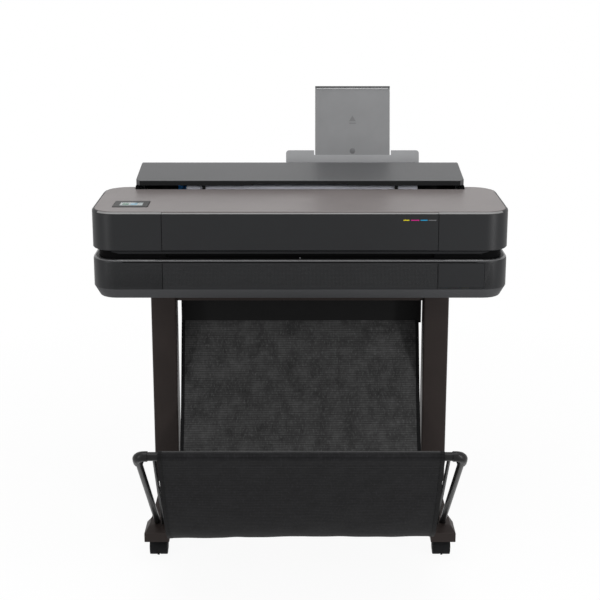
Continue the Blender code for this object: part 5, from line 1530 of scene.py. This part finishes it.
@dataclass
class Studio:
    """The camera at the photograph's angle, soft lamps and a pale floor."""

    distance: float = 2.9
    height: float = 1.534
    pitch: float = 13.1
    lens: float = 75.3
    shift: float = -0.1417
    floor_size: float = 16.0
    floor_white: float = 0.94
    shadow_reach: float = 0.9
    fill: float = 0.38

    def build(self) -> None:
        """Set up camera, lamps, floor and world."""
        scene = bpy.context.scene
        scene.view_settings.view_transform = "Standard"
        self.camera()
        self.lamp("top_softbox", (0.0, -0.3, 3.2), (0.0, 0.05, 0.5), (3.2, 2.2), 62.0)
        self.lamp("left_strip", (-1.95, -1.63, 1.1), (0.0, 0.0, 0.75), (0.28, 2.0), 16.0)
        self.lamp("right_strip", (1.95, -1.63, 1.1), (0.0, 0.0, 0.75), (0.28, 2.0), 30.0)
        self.floor()
        self.world()

    def camera(self) -> None:
        """The camera, level from left to right and tipped down."""
        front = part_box("lower_casing")[0].y
        data = bpy.data.cameras.new("camera")
        data.lens = self.lens
        data.shift_y = self.shift
        camera = bpy.data.objects.new("camera", data)
        camera.location = (0.0, front - self.distance, self.height)
        camera.rotation_euler = (math.radians(90 - self.pitch), 0.0, 0.0)
        bpy.context.scene.collection.objects.link(camera)
        bpy.context.scene.camera = camera

    def lamp(self, name: str, place: Point, aim: Point, size: tuple[float, float], power: float) -> None:
        """A soft area lamp.

        Args:
            name: The lamp's name.
            place: Where it hangs.
            aim: The point it faces.
            size: Its width and height.
            power: Its power in watts.
        """
        data = bpy.data.lights.new(name, "AREA")
        data.shape = "RECTANGLE"
        data.size, data.size_y = size
        data.energy = power
        lamp = bpy.data.objects.new(name, data)
        lamp.location = place
        lamp.rotation_euler = (Vector(aim) - Vector(place)).to_track_quat("-Z", "Y").to_euler()
        bpy.context.scene.collection.objects.link(lamp)

    @staticmethod
    def seen(sheet: bpy.types.NodeTree) -> bpy.types.NodeSocket:
        """1 for rays from the camera and in reflections or glass, 0 for the light that falls on things.

        Args:
            sheet: The node tree to add the nodes to.

        Returns:
            The share.
        """
        path = sheet.nodes.new("ShaderNodeLightPath")
        found = path.outputs["Is Camera Ray"]
        for name in ("Is Glossy Ray", "Is Transmission Ray"):
            more = sheet.nodes.new("ShaderNodeMath")
            more.operation = "MAXIMUM"
            sheet.links.new(found, more.inputs[0])
            sheet.links.new(path.outputs[name], more.inputs[1])
            found = more.outputs[0]
        return found

    def floor(self) -> None:
        """A pale floor that shows white, keeps the shadow near the stand and runs into the background."""
        deselect()
        bpy.ops.mesh.primitive_plane_add(size=self.floor_size)
        floor = bpy.context.object
        floor.name = "floor"
        sheet = NodeSheet("pale_floor")
        sheet.wear("Base Color", (0.9, 0.9, 0.9, 1.0))
        sheet.wear("Roughness", 0.9)
        sheet.wear("Specular IOR Level", 0.0)
        away = sheet.add("ShaderNodeVectorMath", {0: sheet.place()}, operation="LENGTH").outputs["Value"]
        white = sheet.span(away, self.shadow_reach, 2.2 * self.shadow_reach, self.floor_white, 1.0)
        share = sheet.math("MULTIPLY", self.seen(sheet.tree), white)
        glow = sheet.add("ShaderNodeEmission", {"Color": (1.0, 1.0, 1.0, 1.0), "Strength": 1.0})
        mixed = sheet.add("ShaderNodeMixShader", {0: share, 1: sheet.shader.outputs["BSDF"],
                                                  2: glow.outputs["Emission"]})
        sheet.tree.links.new(mixed.outputs["Shader"], sheet.tree.nodes["Material Output"].inputs["Surface"])
        floor.data.materials.append(sheet.material)

    def world(self) -> None:
        """A world that is white to the camera and in reflections, and dimmer as a light."""
        world = bpy.data.worlds.new("studio")
        bpy.context.scene.world = world
        world.use_nodes = True
        tree = world.node_tree
        strength = tree.nodes.new("ShaderNodeMapRange")
        strength.inputs["To Min"].default_value = self.fill
        strength.inputs["To Max"].default_value = 1.0
        tree.links.new(self.seen(tree), strength.inputs["Value"])
        background = tree.nodes["Background"]
        background.inputs["Color"].default_value = (1.0, 1.0, 1.0, 1.0)
        tree.links.new(strength.outputs["Result"], background.inputs["Strength"])


def main() -> None:
    """Build the plotter's looks in order."""
    logging.basicConfig(level=logging.INFO, format="%(name)s %(message)s")
    for part in (Studio(), Casing(), Doors(), Works(), Rear(), MediaBay(), SheetFeeder(), Stand(), Bin()):
        part.build()
    deselect()


if __name__ == "__main__":
    main()
